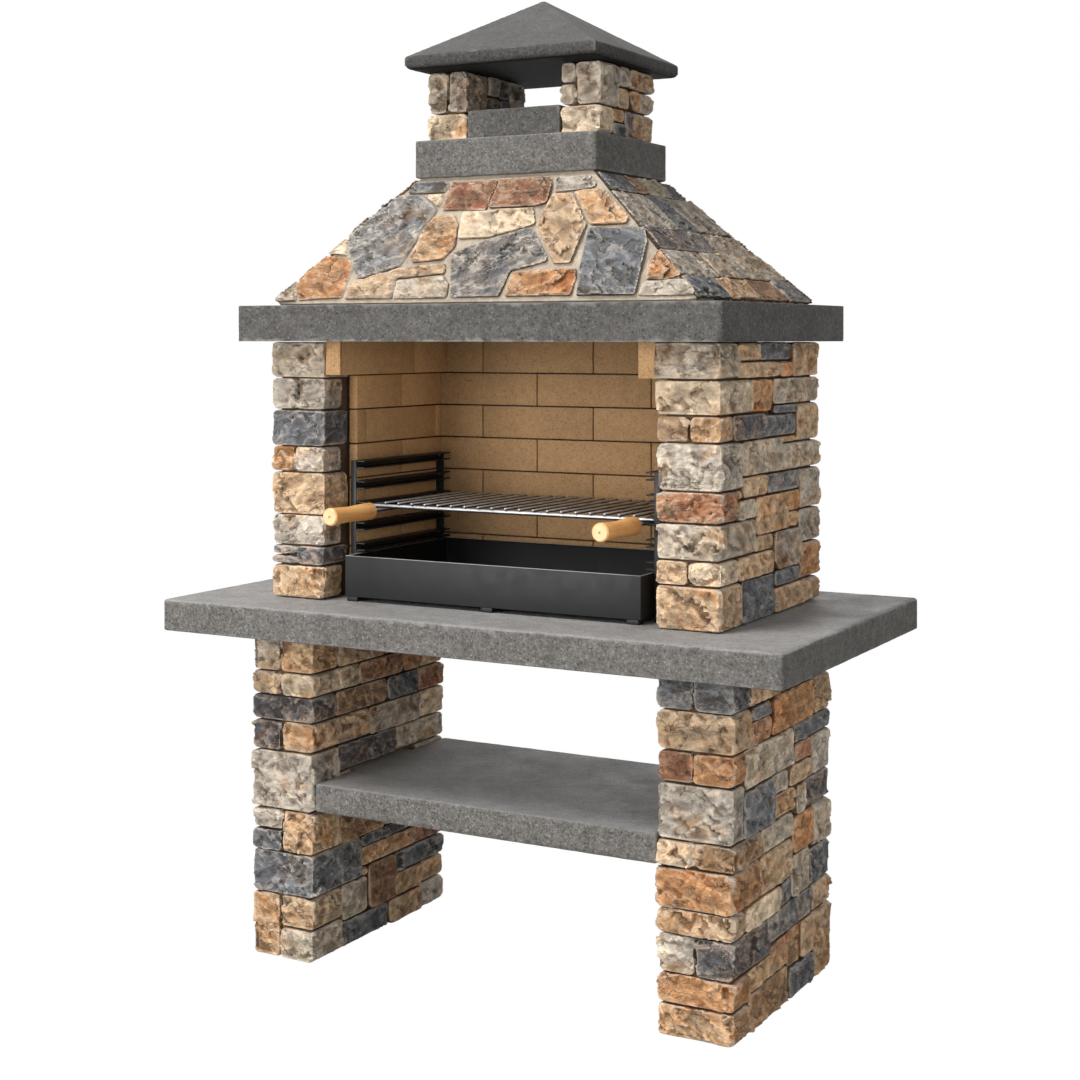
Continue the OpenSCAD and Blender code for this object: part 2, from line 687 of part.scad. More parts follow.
module hood_shell() {
    inner_foot = [hood_foot[0] - hood_wall, hood_foot[1] - hood_wall];
    inner_head = [hood_head[0] - hood_wall, hood_head[1] - hood_wall];
    color(mortar) translate([0, 0, hood_z]) difference() {
        frustum(hood_foot, hood_head, hood_foot_y, chimney_shift, hood_h);
        // The hollow keeps its slopes a little past both ends, so that it opens them cleanly
        translate([0, 0, -e])
            frustum(inner_foot, inner_head, hood_foot_y, chimney_shift, hood_h + 2 * e);
    }
}

// Faces of the hood, each laid flat with x across it and y up its slope:
// [half width at the foot, half width at the head, run of the slope]
front_slope = [hood_foot[0], hood_head[0], front_run];
back_slope = [hood_foot[0], hood_head[0], back_run];
side_slope = [hood_foot[1], hood_head[1], side_run];
function slope_l(s) = sqrt(s[2] * s[2] + hood_h * hood_h);
function slope_a(s) = atan2(hood_h, s[2]);
// Length that the stones cover: their faces end a little under the chimney slab
function clad_l(s) = slope_l(s) - flag_t / tan(slope_a(s)) - stone_joint / 4;
function half_at(s, v) = s[0] + (s[1] - s[0]) * v / slope_l(s);
// The side faces lean, because the hood's head is not over the middle of its foot
function lean_at(s, v) = (chimney_shift - hood_foot_y) * v / slope_l(s);

module on_slope(s, x, y, turn) {
    translate([x, y, hood_z]) rotate([0, 0, turn]) rotate([slope_a(s), 0, 0]) children();
}

// Flagstones of the front, as outlines on the finished face: [across, up the slope]
flag_face = [535, 230, 316];
flags = [
    [[-530, 6], [-520, 24], [-490, 58], [-478, 10]],
    [[-484, 52], [-430, 122], [-364, 114], [-348, 90], [-354, 16], [-470, 10]],
    [[-428, 130], [-382, 164], [-376, 126]],
    [[-342, 12], [-322, 52], [-212, 84], [-98, 94], [-92, 72], [-218, 62], [-216, 12]],
    [[-210, 12], [-212, 54], [-94, 64], [-76, 44], [-72, 12]],
    [[-372, 176], [-336, 212], [-252, 272], [-210, 272], [-160, 236], [-202, 136], [-218, 92],
        [-320, 62], [-362, 140]],
    [[-200, 274], [-152, 274], [-156, 246]],
    [[-250, 282], [-234, 308], [-154, 308], [-144, 296], [-154, 282]],
    [[-190, 124], [-158, 214], [-106, 216], [-92, 196], [-84, 142], [-108, 108], [-184, 102]],
    [[-144, 236], [-134, 306], [-14, 306], [-26, 232]],
    [[-18, 236], [-6, 306], [124, 306], [132, 286], [128, 244], [104, 236]],
    [[-78, 160], [-84, 224], [22, 228], [98, 228], [110, 190], [-4, 160]],
    [[-86, 118], [-8, 150], [104, 180], [158, 108], [158, 96], [74, 76], [68, 42], [60, 14], [-60, 12]],
    [[140, 262], [188, 262], [214, 222], [238, 184], [218, 92], [180, 92], [116, 188]],
    [[140, 306], [222, 306], [246, 284], [238, 276], [146, 270]],
    [[196, 268], [262, 270], [336, 198], [334, 184], [252, 184], [222, 222]],
    [[246, 176], [378, 170], [392, 140], [386, 14], [252, 14], [246, 70]],
    [[76, 14], [86, 70], [236, 76], [240, 58], [236, 14]],
    [[408, 50], [406, 90], [422, 116], [482, 56], [450, 46]],
    [[398, 12], [404, 42], [496, 46], [520, 24], [520, 12]]];

// An outline's point, moved from the drawn face to the mortar face it is laid on
function laid(p, s) = let (v = p[1] * clad_l(s) / flag_face[2])
    [p[0] * (half_at(s, v) - stone_joint / 2)
        / (flag_face[0] + (flag_face[1] - flag_face[0]) * v / slope_l(s)), v];

module front_flagstones() {
    on_slope(front_slope, 0, hood_foot_y - hood_foot[1], 0)
        for (i = [0:len(flags) - 1])
            color(stone_colours[round(5 * vary(i, 31))])
                linear_extrude(flag_t - face_relief / 2 * vary(i, 5))
                    polygon([for (p = flags[i]) laid(p, front_slope)]);
}

// Rows of slate on the other faces, from the foot up: [share of the slope, shares across]
side_rows = [[17, [28, 26, 26, 20]], [20, [35, 30, 35]], [18, [46, 14, 40]], [30, [40, 24, 36]],
    [15, [34, 16, 30, 20]]];
back_rows = [[20, [20, 14, 24, 18, 24]], [24, [26, 22, 18, 34]], [22, [30, 20, 28, 22]],
    [19, [22, 40, 38]], [15, [40, 28, 32]]];

// One slate between two heights up the slope and two shares across it, its joints kept free
module slate(s, lean, v, a, t) {
    j = stone_joint / 2;
    x = function (f, h) lean * lean_at(s, h) + half_at(s, h) * (2 * f - 1);
    linear_extrude(t)
        polygon([[x(a[0], v[0] + j) + j, v[0] + j], [x(a[1], v[0] + j) - j, v[0] + j],
            [x(a[1], v[1] - j) - j, v[1] - j], [x(a[0], v[1] - j) + j, v[1] - j]]);
}

module slates(s, slate_rows, lean, key) {
    row_h = fitted([for (r = slate_rows) r[0]], clad_l(s));
    for (i = [0:len(slate_rows) - 1]) {
        parts = fitted(slate_rows[i][1], 1);
        for (k = [0:len(parts) - 1])
            color(stone_colours[round(5 * vary(key + 2 * i, 3 * k))])
                slate(s, lean, [total(row_h, i), total(row_h, i + 1)],
                    [total(parts, k), total(parts, k + 1)],
                    flag_t - face_relief / 2 * vary(key + i, k));
    }
}

module back_flagstones() {
    on_slope(back_slope, 0, hood_foot_y + hood_foot[1], 180) slates(back_slope, back_rows, 0, 41);
}
module right_flagstones() {
    on_slope(side_slope, hood_foot[0], hood_foot_y, 90) slates(side_slope, side_rows, 1, 42);
}
module left_flagstones() {
    mirror([1, 0, 0])
        on_slope(side_slope, hood_foot[0], hood_foot_y, 90) slates(side_slope, side_rows, 1, 43);
}

// Chimney
module chimney_slab() {
    color(concrete) translate([0, 0, chimney_slab_z]) difference() {
        slab(chimney_slab_w, chimney_shift - chimney_slab_d / 2, chimney_slab_d, chimney_slab_t);
        translate([-smoke_w / 2, chimney_shift - smoke_d / 2, -e])
            cube([smoke_w, smoke_d, chimney_slab_t + 2 * e]);
    }
}

module pier_core(right) {
    color(mortar) translate([0, 0, pier_z]) mirrored_if(right)
        core(pier_x1 + pier_clad_t, pier_x2 - pier_clad_t, pier_y1, pier_d, pier_courses,
            pier_front, pier_courses, pier_back);
}
module left_pier_core() { pier_core(false); }
module right_pier_core() { pier_core(true); }

module pier_blocks(x, parts, key) {
    translate([x, pier_y1, pier_z]) blocks(pier_w, pier_courses, pier_front, parts, key);
    translate([x + pier_w, pier_y2, pier_z]) rotate(180)
        blocks(pier_w, pier_courses, pier_back, parts, key + 3);
}
module left_pier_blocks() { pier_blocks(-pier_x2, left_pier_front, 51); }
module right_pier_blocks() { pier_blocks(pier_x1, right_pier_front, 52); }

// Both sides of a pier are faced, with small stones in two layers per course
module pier_facing(x, key) {
    parts = [[[58, 2], [42, 1]], [[52, 2], [48, 2]]];
    for (i = [0:1]) {
        d = pier_d - pier_front[i] - pier_back[i];
        z = pier_z + total(pier_courses, i);
        translate([x + pier_w, pier_y1 + pier_front[i], z]) rotate(90)
            course(d, pier_clad_t, pier_courses[i], parts[i], key + 5 * i);
        translate([x, pier_y2 - pier_back[i], z]) rotate(-90)
            course(d, pier_clad_t, pier_courses[i], parts[i], key + 5 * i + 2);
    }
}
module left_pier_facing() { pier_facing(-pier_x2, 61); }
module right_pier_facing() { pier_facing(pier_x1, 62); }

module sill(y) {
    color(concrete) translate([-pier_x1, y, pier_z]) cube([pier_gap, sill_t, sill_h]);
}
module front_sill() { sill(pier_y1 + face_relief / 2); }
module back_sill() { sill(pier_y2 - face_relief / 2 - sill_t); }

// The cap's pyramid is what two crossed gables share
module cap_gable(half) {
    polygon([[-half + cap_chamfer, 0], [half - cap_chamfer, 0], [half, cap_chamfer], [half, cap_edge],
        [0, cap_edge + cap_rise], [-half, cap_edge], [-half, cap_chamfer]]);
}
module chimney_cap() {
    color(concrete) translate([0, chimney_shift + cap_shift, cap_z]) intersection() {
        translate([0, cap_d, 0]) rotate([90, 0, 0]) linear_extrude(2 * cap_d) cap_gable(cap_w / 2);
        translate([-cap_w, 0, 0]) rotate([90, 0, 90]) linear_extrude(2 * cap_w) cap_gable(cap_d / 2);
    }
}

// Rails: two angle posts a side carry channels that open inwards
module rail_post(y, flip) {
    translate([0, y, hearth_z]) {
        translate([side_face - rail_t, flip ? -post_w : 0, 0]) cube([rail_t, post_w, post_h]);
        translate([side_face - post_w, flip ? -rail_t : 0, 0]) cube([post_w - rail_t, rail_t, post_h]);
    }
}
module rail_posts(right) {
    color(black_steel) mirrored_if(right) {
        rail_post(front_post_y, false);
        rail_post(back_post_y, true);
    }
}
module left_rail_posts() { rail_posts(false); }
module right_rail_posts() { rail_posts(true); }

module rail(z) {
    translate([0, rail_y2, z - rail_h / 2]) rotate([90, 0, 0]) linear_extrude(rail_y2 - rail_y1)
        polygon([[rail_tip, 0], [rail_back, 0], [rail_back, rail_h], [rail_tip, rail_h],
            [rail_tip, rail_h - rail_t], [rail_back - rail_t, rail_h - rail_t],
            [rail_back - rail_t, rail_t], [rail_tip, rail_t]]);
}
module rails(right) {
    color(black_steel) mirrored_if(right)
        for (n = [0:rail_levels - 1]) rail(hearth_z + rail_first + n * rail_pitch);
}
module left_rails() { rails(false); }
module right_rails() { rails(true); }

// Bolt heads inside the channels, two at the front post and one at the back post
module rail_bolts() {
    bolt_y = [[rail_y1 + post_w / 2, 1], [rail_y1 + post_w / 2, -1], [rail_y2 - post_w / 2, 0]];
    color(bright_steel) for (side = [-1, 1], n = [0:rail_levels - 1], b = bolt_y)
        translate([side * (rail_back - rail_t), b[0], hearth_z + rail_first + n * rail_pitch
            + b[1] * (rail_h / 2 - rail_t - bolt_d / 2 - bolt_gap)])
            rotate([0, -90 * side, 0]) cylinder(h = bolt_h, d = bolt_d);
}

// Grill: a rod frame that runs in the channels, with bars laid across its front and back rods
module rod(from, length, d, turn) {
    translate(from) rotate(turn) cylinder(h = length, d = d);
}
module grill_frame() {
    color(bright_steel) {
        for (y = [frame_y1, frame_y2]) rod([-frame_x, y, frame_z], 2 * frame_x, frame_rod_d, [0, 90, 0]);
        for (x = [-frame_x, frame_x]) rod([x, frame_y1, frame_z], grill_d, frame_rod_d, [-90, 0, 0]);
        for (x = [-frame_x, frame_x], y = [frame_y1, frame_y2])
            translate([x, y, frame_z]) sphere(d = frame_rod_d);
    }
}
module grill_bars() {
    color(bright_steel) for (n = [0:bar_count - 1])
        rod([(n - (bar_count - 1) / 2) * bar_pitch, frame_y1 - bar_over, bar_z],
            grill_d + 2 * bar_over, bar_d, [-90, 0, 0]);
}

// A handle rod runs out of the handle's bore, under the front rod and on under the bars
module handle_rod(x) {
    color(bright_steel)
        rod([x, handle_rod_y1, handle_z], frame_y1 + handle_rod_back - handle_rod_y1,
            handle_rod_d, [-90, 0, 0]);
}
module left_handle_rod() { handle_rod(-handle_x); }
module right_handle_rod() { handle_rod(handle_x); }

// Turned handle: radius along its length t from 0 at the front end to 1 at the frame's end
function handle_r(t) = (handle_d - (handle_d - handle_waist_d) * pow(sin(180 * min(1, t / 0.9)), 2)) / 2;
module handle(x) {
    bore = handle_rod_d / 2 + handle_bore_clear;
    steps = 12;
    color(beech) translate([x, handle_y1, handle_z]) rotate([-90, 0, 0]) rotate_extrude()
        polygon(concat(
            [[0, 0], [handle_r(0) - handle_round, 0]],
            [for (n = [0:steps]) let (t = n / steps)
                [handle_r(t), handle_round + t * (handle_l - 2 * handle_round)]],
            [[handle_r(1) - handle_round, handle_l], [bore, handle_l],
                [bore, handle_l - handle_bore_l], [0, handle_l - handle_bore_l]]));
}
module left_handle() { handle(-handle_x); }
module right_handle() { handle(handle_x); }

// Charcoal tray: an open pan with a lip folded in along its top
module charcoal_tray() {
    color(black_steel) translate([-tray_w / 2, tray_y1, tray_z]) difference() {
        cube([tray_w, tray_d, tray_h]);
        translate([tray_t, tray_t, tray_t])
            cube([tray_w - 2 * tray_t, tray_d - 2 * tray_t, tray_h - 2 * tray_t]);
        translate([lip_w, lip_w, tray_t]) cube([tray_w - 2 * lip_w, tray_d - 2 * lip_w, tray_h]);
    }
}
module tray_feet() {
    color(black_steel)
        for (x = [lip_w - tray_w / 2, -foot_w / 2, tray_w / 2 - lip_w - foot_w],
            y = [tray_y1, tray_y2 - foot_w])
            translate([x, y, hearth_z + run_gap]) cube([foot_w, foot_w, foot_h]);
}

worktop();
shelf();
lower_left_core();
lower_right_core();
lower_left_front_blocks();
lower_left_back_blocks();
lower_left_outer_facing();
lower_left_inner_facing();
lower_right_front_blocks();
lower_right_back_blocks();
lower_right_outer_facing();
lower_right_inner_facing();
upper_left_core();
upper_right_core();
upper_left_front_blocks();
upper_left_back_blocks();
upper_left_facing();
upper_right_front_blocks();
upper_right_back_blocks();
upper_right_facing();
rear_wall();
back_firebricks();
left_firebricks();
right_firebricks();
left_corbel_bricks();
right_corbel_bricks();
hood_slab();
hood_shell();
front_flagstones();
back_flagstones();
left_flagstones();
right_flagstones();
chimney_slab();
left_pier_core();
right_pier_core();
left_pier_blocks();
right_pier_blocks();
left_pier_facing();
right_pier_facing();
front_sill();
back_sill();
chimney_cap();
left_rail_posts();
right_rail_posts();
left_rails();
right_rails();
rail_bolts();
grill_frame();
grill_bars();
left_handle_rod();
right_handle_rod();
left_handle();
right_handle();
charcoal_tray();
tray_feet();
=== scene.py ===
import contextlib
import math
import random

import bpy
import numpy as np
from bpy.props import FloatProperty, FloatVectorProperty, PointerProperty
from mathutils import Euler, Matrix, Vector


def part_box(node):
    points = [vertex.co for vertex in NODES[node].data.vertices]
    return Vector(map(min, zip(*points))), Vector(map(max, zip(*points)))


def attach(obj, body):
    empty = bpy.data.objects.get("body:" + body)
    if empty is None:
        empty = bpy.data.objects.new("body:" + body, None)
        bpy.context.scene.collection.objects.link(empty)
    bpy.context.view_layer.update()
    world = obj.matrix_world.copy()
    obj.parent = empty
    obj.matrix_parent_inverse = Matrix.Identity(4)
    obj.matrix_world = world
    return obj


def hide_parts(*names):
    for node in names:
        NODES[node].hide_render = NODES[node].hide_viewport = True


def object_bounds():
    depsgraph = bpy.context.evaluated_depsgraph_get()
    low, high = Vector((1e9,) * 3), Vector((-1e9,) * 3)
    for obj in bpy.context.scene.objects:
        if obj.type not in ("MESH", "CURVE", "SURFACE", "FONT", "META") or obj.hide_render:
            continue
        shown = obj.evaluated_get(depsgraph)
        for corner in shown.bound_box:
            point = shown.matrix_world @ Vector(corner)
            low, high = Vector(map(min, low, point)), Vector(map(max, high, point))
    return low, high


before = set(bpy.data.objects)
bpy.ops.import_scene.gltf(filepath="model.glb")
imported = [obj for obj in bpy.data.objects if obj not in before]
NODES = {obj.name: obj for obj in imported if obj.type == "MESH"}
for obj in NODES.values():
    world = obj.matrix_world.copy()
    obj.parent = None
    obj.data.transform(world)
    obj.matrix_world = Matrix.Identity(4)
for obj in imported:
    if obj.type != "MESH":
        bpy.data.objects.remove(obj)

bl_info = {
    "name": "Masonry Barbecue",
    "version": (1, 0, 0),
    "blender": (4, 5, 0),
    "location": "View3D > Sidebar > Barbecue",
    "description": "Dresses the stones, slabs, hearth, grill and tray of a masonry barbecue",
    "category": "Object",
}

CAD_BOX = [list(corner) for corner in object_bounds()]

MASONRY, GRILL, TRAY = "masonry", "grill", "tray"
SIDES = ("left", "right")
LEFT, RIGHT, FRONT, BACK = (-1, 0, 0), (1, 0, 0), (0, -1, 0), (0, 1, 0)
# How square to an axis a flat end looks, and how near a point counts as lying on a plane
SQUARE, NEAR = 0.99, 0.001


# Objects and modifiers

def only(obj):
    """Selects one object and makes it active."""
    bpy.ops.object.select_all(action="DESELECT")
    obj.select_set(True)
    bpy.context.view_layer.objects.active = obj


@contextlib.contextmanager
def editing(obj, chosen=None):
    """Opens edit mode with everything selected, or only the faces for which chosen is true."""
    only(obj)
    bpy.ops.object.mode_set(mode="EDIT")
    if chosen:
        bpy.ops.mesh.select_mode(type="FACE")
        bpy.ops.mesh.select_all(action="DESELECT")
        bpy.ops.object.mode_set(mode="OBJECT")
        for face in obj.data.polygons:
            face.select = chosen(face)
        bpy.ops.object.mode_set(mode="EDIT")
    else:
        bpy.ops.mesh.select_all(action="SELECT")
    yield
    bpy.ops.object.mode_set(mode="OBJECT")


def modify(obj, kind, **values):
    """Adds a modifier with these values and applies it."""
    only(obj)
    modifier = obj.modifiers.new(kind.title(), kind)
    for key, value in values.items():
        setattr(modifier, key, value)
    bpy.ops.object.modifier_apply(modifier=modifier.name)


def soften(obj, width, segments=2, **values):
    """Rounds the sharp edges."""
    modify(obj, "BEVEL", width=width, segments=segments, limit_method="ANGLE", **values)


def ripple(obj, name, size, strength, mid_level):
    """Makes a surface uneven with soft noise, a named texture that like pieces share."""
    noise = bpy.data.textures.get(name) or bpy.data.textures.new(name, "CLOUDS")
    noise.noise_scale, noise.noise_depth = size, 2
    modify(obj, "DISPLACE", strength=strength, mid_level=mid_level, texture=noise,
           texture_coords="LOCAL")


def copy_of(node, name):
    """A new object with a CAD node's shape, its loose triangles merged into clean faces."""
    obj = bpy.data.objects.new(name, NODES[node].data.copy())
    bpy.context.collection.objects.link(obj)
    obj.data.name = name
    obj.data.materials.clear()
    only(obj)
    bpy.ops.mesh.customdata_custom_splitnormals_clear()
    with editing(obj):
        bpy.ops.mesh.remove_doubles(threshold=0.00001)
        bpy.ops.mesh.dissolve_limited(angle_limit=math.radians(1))
    return obj


def cube(name):
    """A new cube round the origin, 1 m a side."""
    bpy.ops.object.select_all(action="DESELECT")
    bpy.ops.mesh.primitive_cube_add(size=1)
    obj = bpy.context.object
    obj.name = obj.data.name = name
    return obj


def dress(piece, body, slot, material, *replaced, smooth=40):
    """Gives a finished piece its body, material and smooth shading; the slot is not used."""
    only(piece)
    bpy.ops.object.shade_smooth_by_angle(angle=math.radians(smooth))
    piece.data.materials.clear()
    piece.data.materials.append(material)
    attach(piece, body)
    if replaced:
        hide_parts(*replaced)


def read(rows, field, width, kind=np.float32):
    out = np.empty(len(rows) * width, kind)
    rows.foreach_get(field, out)
    return out.reshape(-1, width)


def points(mesh):
    return read(mesh.vertices, "co", 3)


def normals(mesh):
    return read(mesh.vertices, "normal", 3)


def edges(mesh):
    return read(mesh.edges, "vertices", 2, np.int32)


def set_points(mesh, co):
    mesh.vertices.foreach_set("co", np.ascontiguousarray(co, np.float32).ravel())
    mesh.update()


def store(mesh, name, values):
    """Stores a number, a vector or a colour for each vertex, or one number for all of them."""
    values = np.ascontiguousarray(values, np.float32).ravel()
    if len(values) == 1:
        values = np.full(len(mesh.vertices), values[0], np.float32)
    kind, field = {1: ("FLOAT", "value"), 3: ("FLOAT_VECTOR", "vector"),
                   4: ("FLOAT_COLOR", "color")}[len(values) // len(mesh.vertices)]
    mesh.attributes.new(name, kind, "POINT").data.foreach_set(field, values)


def islands(mesh):
    """The number of the loose part that each vertex belongs to."""
    label = np.arange(len(mesh.vertices))
    pairs = edges(mesh)
    while True:
        low = np.minimum(label[pairs[:, 0]], label[pairs[:, 1]])
        new = label.copy()
        np.minimum.at(new, pairs[:, 0], low)
        np.minimum.at(new, pairs[:, 1], low)
        if (new == label).all():
            return np.unique(label, return_inverse=True)[1]
        label = new


def mean_of_neighbours(pairs, values):
    ends = np.concatenate((pairs[:, 0], pairs[:, 1]))
    other = np.concatenate((pairs[:, 1], pairs[:, 0]))
    count = np.maximum(np.bincount(ends, minlength=len(values)), 1)
    return np.stack([np.bincount(ends, column[other], len(values)) / count
                     for column in values.T], 1)


def relief_of(mesh, depth, reach):
    """How far each vertex stands proud of its surroundings: 0 in a hollow, 1 on a ridge or an
    edge. The surroundings reach a number of edges."""
    pairs, co = edges(mesh), points(mesh).astype(np.float64)
    around = co
    for _ in range(reach):
        around = mean_of_neighbours(pairs, around)
    proud = ((co - around) * normals(mesh)).sum(axis=1, keepdims=True)
    value = np.clip(0.5 + proud / depth, 0, 1)
    return 0.5 * value + 0.5 * mean_of_neighbours(pairs, value)


# Stones

# Distance between stones while they are worked, and the share of their faces that is then kept
SPREAD, KEPT_FACES = 2.0, 0.5
# How a face breaks, coarse to fine: size of the shards, their steps, their lean and their hollow
SHARDS = (((0.11, 0.11, 0.045), 0.0032, 0.1, 0.0), ((0.045, 0.045, 0.022), 0.0014, 0.15, 0.06))
# How far the shards' outlines waver, and over what length
WAVER = ((0.007, 0.045), (0.003, 0.017))
DEEPEST, PROUDEST = -0.007, 0.006
# Multipliers that scatter the steady random values of the shards, and the step between two
SCATTER, SCATTER_GAIN, SCATTER_STEP = (127.1, 311.7, 74.7), 43758.5453, 17.3
# Size and strength of the fine unevenness of a stone, and the relief that counts as full
EDGE_SIZE, EDGE_STRENGTH, STONE_RELIEF = 0.045, 0.0018, 0.0055
# How squarely a surface looks outward where it starts to count, and counts in full, as a broken
# face, as clear of the joint, where shade is painted on the stones, and as clear of the rim, which
# is painted pale as part wear and part highlight
FACE_TURN, JOINT_TURN, RIM_TURN = (0.62, 0.95), (0.1, 0.6), (0.62, 0.96)
# How far the stones differ in brightness, and their grain in lean (radians) and in place
BRIGHTNESS, LEAN, SHIFT = (0.92, 1.08), (0.4, 0.5, 0.4), 9


def rising(low, high):
    """Numbers stones from the bottom up, then from left to right and from front to back."""
    middle = (low + high) / 2
    order = np.lexsort((middle[:, 1], np.round(middle[:, 0] / 0.05), np.round(middle[:, 2], 3)))
    rank = np.empty(len(order), int)
    rank[order] = np.arange(len(order))
    return rank


def outward(mesh, faces, low, high):
    """How much each vertex looks along an exposed direction: 0 below low, 1 above high."""
    facing = np.max(normals(mesh) @ np.array(faces, np.float32).T, axis=1)
    t = np.clip((facing - low) / (high - low), 0, 1)
    return t * t * (3 - 2 * t)


def shards(at, size, seed):
    """Cuts space into shards round scattered seeds. Gives each point's way from its shard's seed,
    and three steady random values of that shard."""
    size = np.array(size)
    base = np.floor(at / size - 0.5)
    nearest = np.full(len(at), np.inf)
    way, value = np.zeros_like(at), np.zeros_like(at)
    for step in np.ndindex(2, 2, 2):
        cell = base + step
        key = cell @ np.array(SCATTER) + seed
        draws = np.stack([np.modf(np.abs(np.sin(key + SCATTER_STEP * k)) * SCATTER_GAIN)[0]
                          for k in range(6)], 1)
        away = at - (cell + draws[:, :3]) * size
        gap = (away ** 2).sum(axis=1)
        closer = gap < nearest
        nearest[closer] = gap[closer]
        way[closer], value[closer] = away[closer], draws[closer, 3:]
    return way, value


def broken_height(at, depth):
    """How far a split face stands out at each point: leaning shards with hollow faces."""
    height = np.zeros(len(at))
    for reach, length in WAVER:
        turned = at[:, [1, 2, 0]] + 0.7 * at[:, [2, 0, 1]]
        at = at + reach * np.sin(turned * (2 * math.pi / length))
    for n, (size, step, lean, hollow) in enumerate(SHARDS):
        way, value = shards(at, size, 5.7 * n)
        swing = 2 * value - 1
        height += step * swing[:, 0] + lean * (way * swing).sum(axis=1)
        height += hollow * ((way ** 2).sum(axis=1) / size[0] - size[0] * 0.16)
    return np.clip(height * depth, DEEPEST, PROUDEST)


def broken_stone(node, faces, depth, value, slot="stone", voxel=0.004, rounding=6, grown=0.0007,
                 shape=None):
    """Dresses the plain stones of a CAD node: rounded outlines, sides grown into the joints, and
    rock faces, broken to a depth, where they show. The value brightens their colours."""
    roughness = bpy.context.scene.barbecue_stone.roughness
    obj = copy_of(node, "stone_" + node)
    mesh = obj.data
    part, co = islands(mesh), points(mesh)
    count = part.max() + 1
    low = np.array([co[part == i].min(axis=0) for i in range(count)])
    high = np.array([co[part == i].max(axis=0) for i in range(count)])
    # The stones are set far apart while they are worked, so that no two of them grow together
    co[:, 0] += SPREAD * rising(low, high)[part]
    set_points(mesh, co)
    modify(obj, "REMESH", mode="VOXEL", voxel_size=voxel, use_smooth_shade=True)
    modify(obj, "SMOOTH", factor=0.5, iterations=rounding)
    co, weight = points(mesh).astype(np.float64), outward(mesh, faces, *FACE_TURN)
    face = weight > 0
    height = grown * (1 - weight)
    height[face] += broken_height(co[face], depth * roughness) * weight[face]
    set_points(mesh, co + normals(mesh) * height[:, None])
    ripple(obj, "stone_edge", EDGE_SIZE, EDGE_STRENGTH * roughness, 0.6)
    modify(obj, "DECIMATE", ratio=KEPT_FACES)
    co = points(mesh)
    stone = np.clip(np.rint(co[:, 0] / SPREAD).astype(int), 0, count - 1)
    co[:, 0] -= SPREAD * stone
    if shape:
        co = shape(co)
    set_points(mesh, np.clip(co, *CAD_BOX))
    paint_stones(mesh, stone, count, node, value)
    # Where the material paints shade in the joints, and pale rims, part wear and part painted
    # highlight
    store(mesh, "joint", 1 - outward(mesh, faces, *JOINT_TURN))
    store(mesh, "rim", 1 - outward(mesh, faces, *RIM_TURN))
    material = made_once(stone_material, "split_stone")
    dress(obj, MASONRY, slot, material, node, smooth=32)


def paint_stones(mesh, stone, count, node, bright):
    """Stores what the stone material reads: each stone's two colours and the share of the second,
    its own grain and its relief."""
    settings = bpy.context.scene.barbecue_stone
    draw = random.Random("stone_" + node)
    chosen = LAID.get(node, "").split()
    while len(chosen) < count:
        chosen.append(draw.choice(MIX.split()))
    first, second, stained = np.ones((count, 4)), np.ones((count, 4)), np.empty(count)
    centre, turn = np.empty((count, 3)), np.empty((count, 3, 3))
    co = points(mesh)
    for i in range(count):
        tone, stain, stained[i] = TONES[chosen[i]]
        value = bright * draw.uniform(*BRIGHTNESS)
        first[i, :3] = [c * value for c in getattr(settings, tone)]
        second[i, :3] = [c * value for c in getattr(settings, stain)]
        own = stone == i
        centre[i] = co[own].mean(axis=0) if own.any() else 0
        lean = Euler([draw.uniform(-most, most) for most in LEAN])
        turn[i] = np.array(lean.to_matrix())
    shift = np.array([[draw.uniform(-SHIFT, SHIFT) for _ in range(3)] for _ in range(count)])
    store(mesh, "tone", first[stone])
    store(mesh, "stain", second[stone])
    store(mesh, "stained", stained[stone])
    store(mesh, "grain", np.einsum("nij,nj->ni", turn[stone], co - centre[stone]) + shift[stone])
    store(mesh, "relief", relief_of(mesh, STONE_RELIEF, 4))


# Each kind of stone: its main colour, the colour that stains it and how strong the stain is
TONES = {
    "tan": ("tan", "sand", 0.8), "sand": ("sand", "tan", 0.8), "cream": ("cream", "sand", 0.7),
    "gold": ("gold", "sand", 0.7), "orange": ("ochre", "gold", 0.6), "rust": ("rust", "tan", 0.5),
    "redvein": ("rust", "brown", 0.6), "brown": ("brown", "tan", 0.6),
    "rustbrown": ("brown", "rust", 0.6), "slate": ("slate", "blue", 0.6),
    "charcoal": ("slate", "slate", 0.5), "slatepale": ("slate", "pale", 0.4),
    "vein": ("slate", "ochre", 0.12), "blue": ("blue", "slate", 0.7),
    "paleblue": ("blue", "pale", 0.3), "veinblue": ("blue", "ochre", 0.12),
    "grey": ("grey", "pale", 0.7), "veingrey": ("grey", "gold", 0.25),
    "pale": ("pale", "grey", 0.7), "dun": ("dun", "pale", 0.8),
}
MIX = ("tan tan tan sand sand cream gold orange rust slate slate blue vein grey grey pale dun dun "
       "brown slatepale")
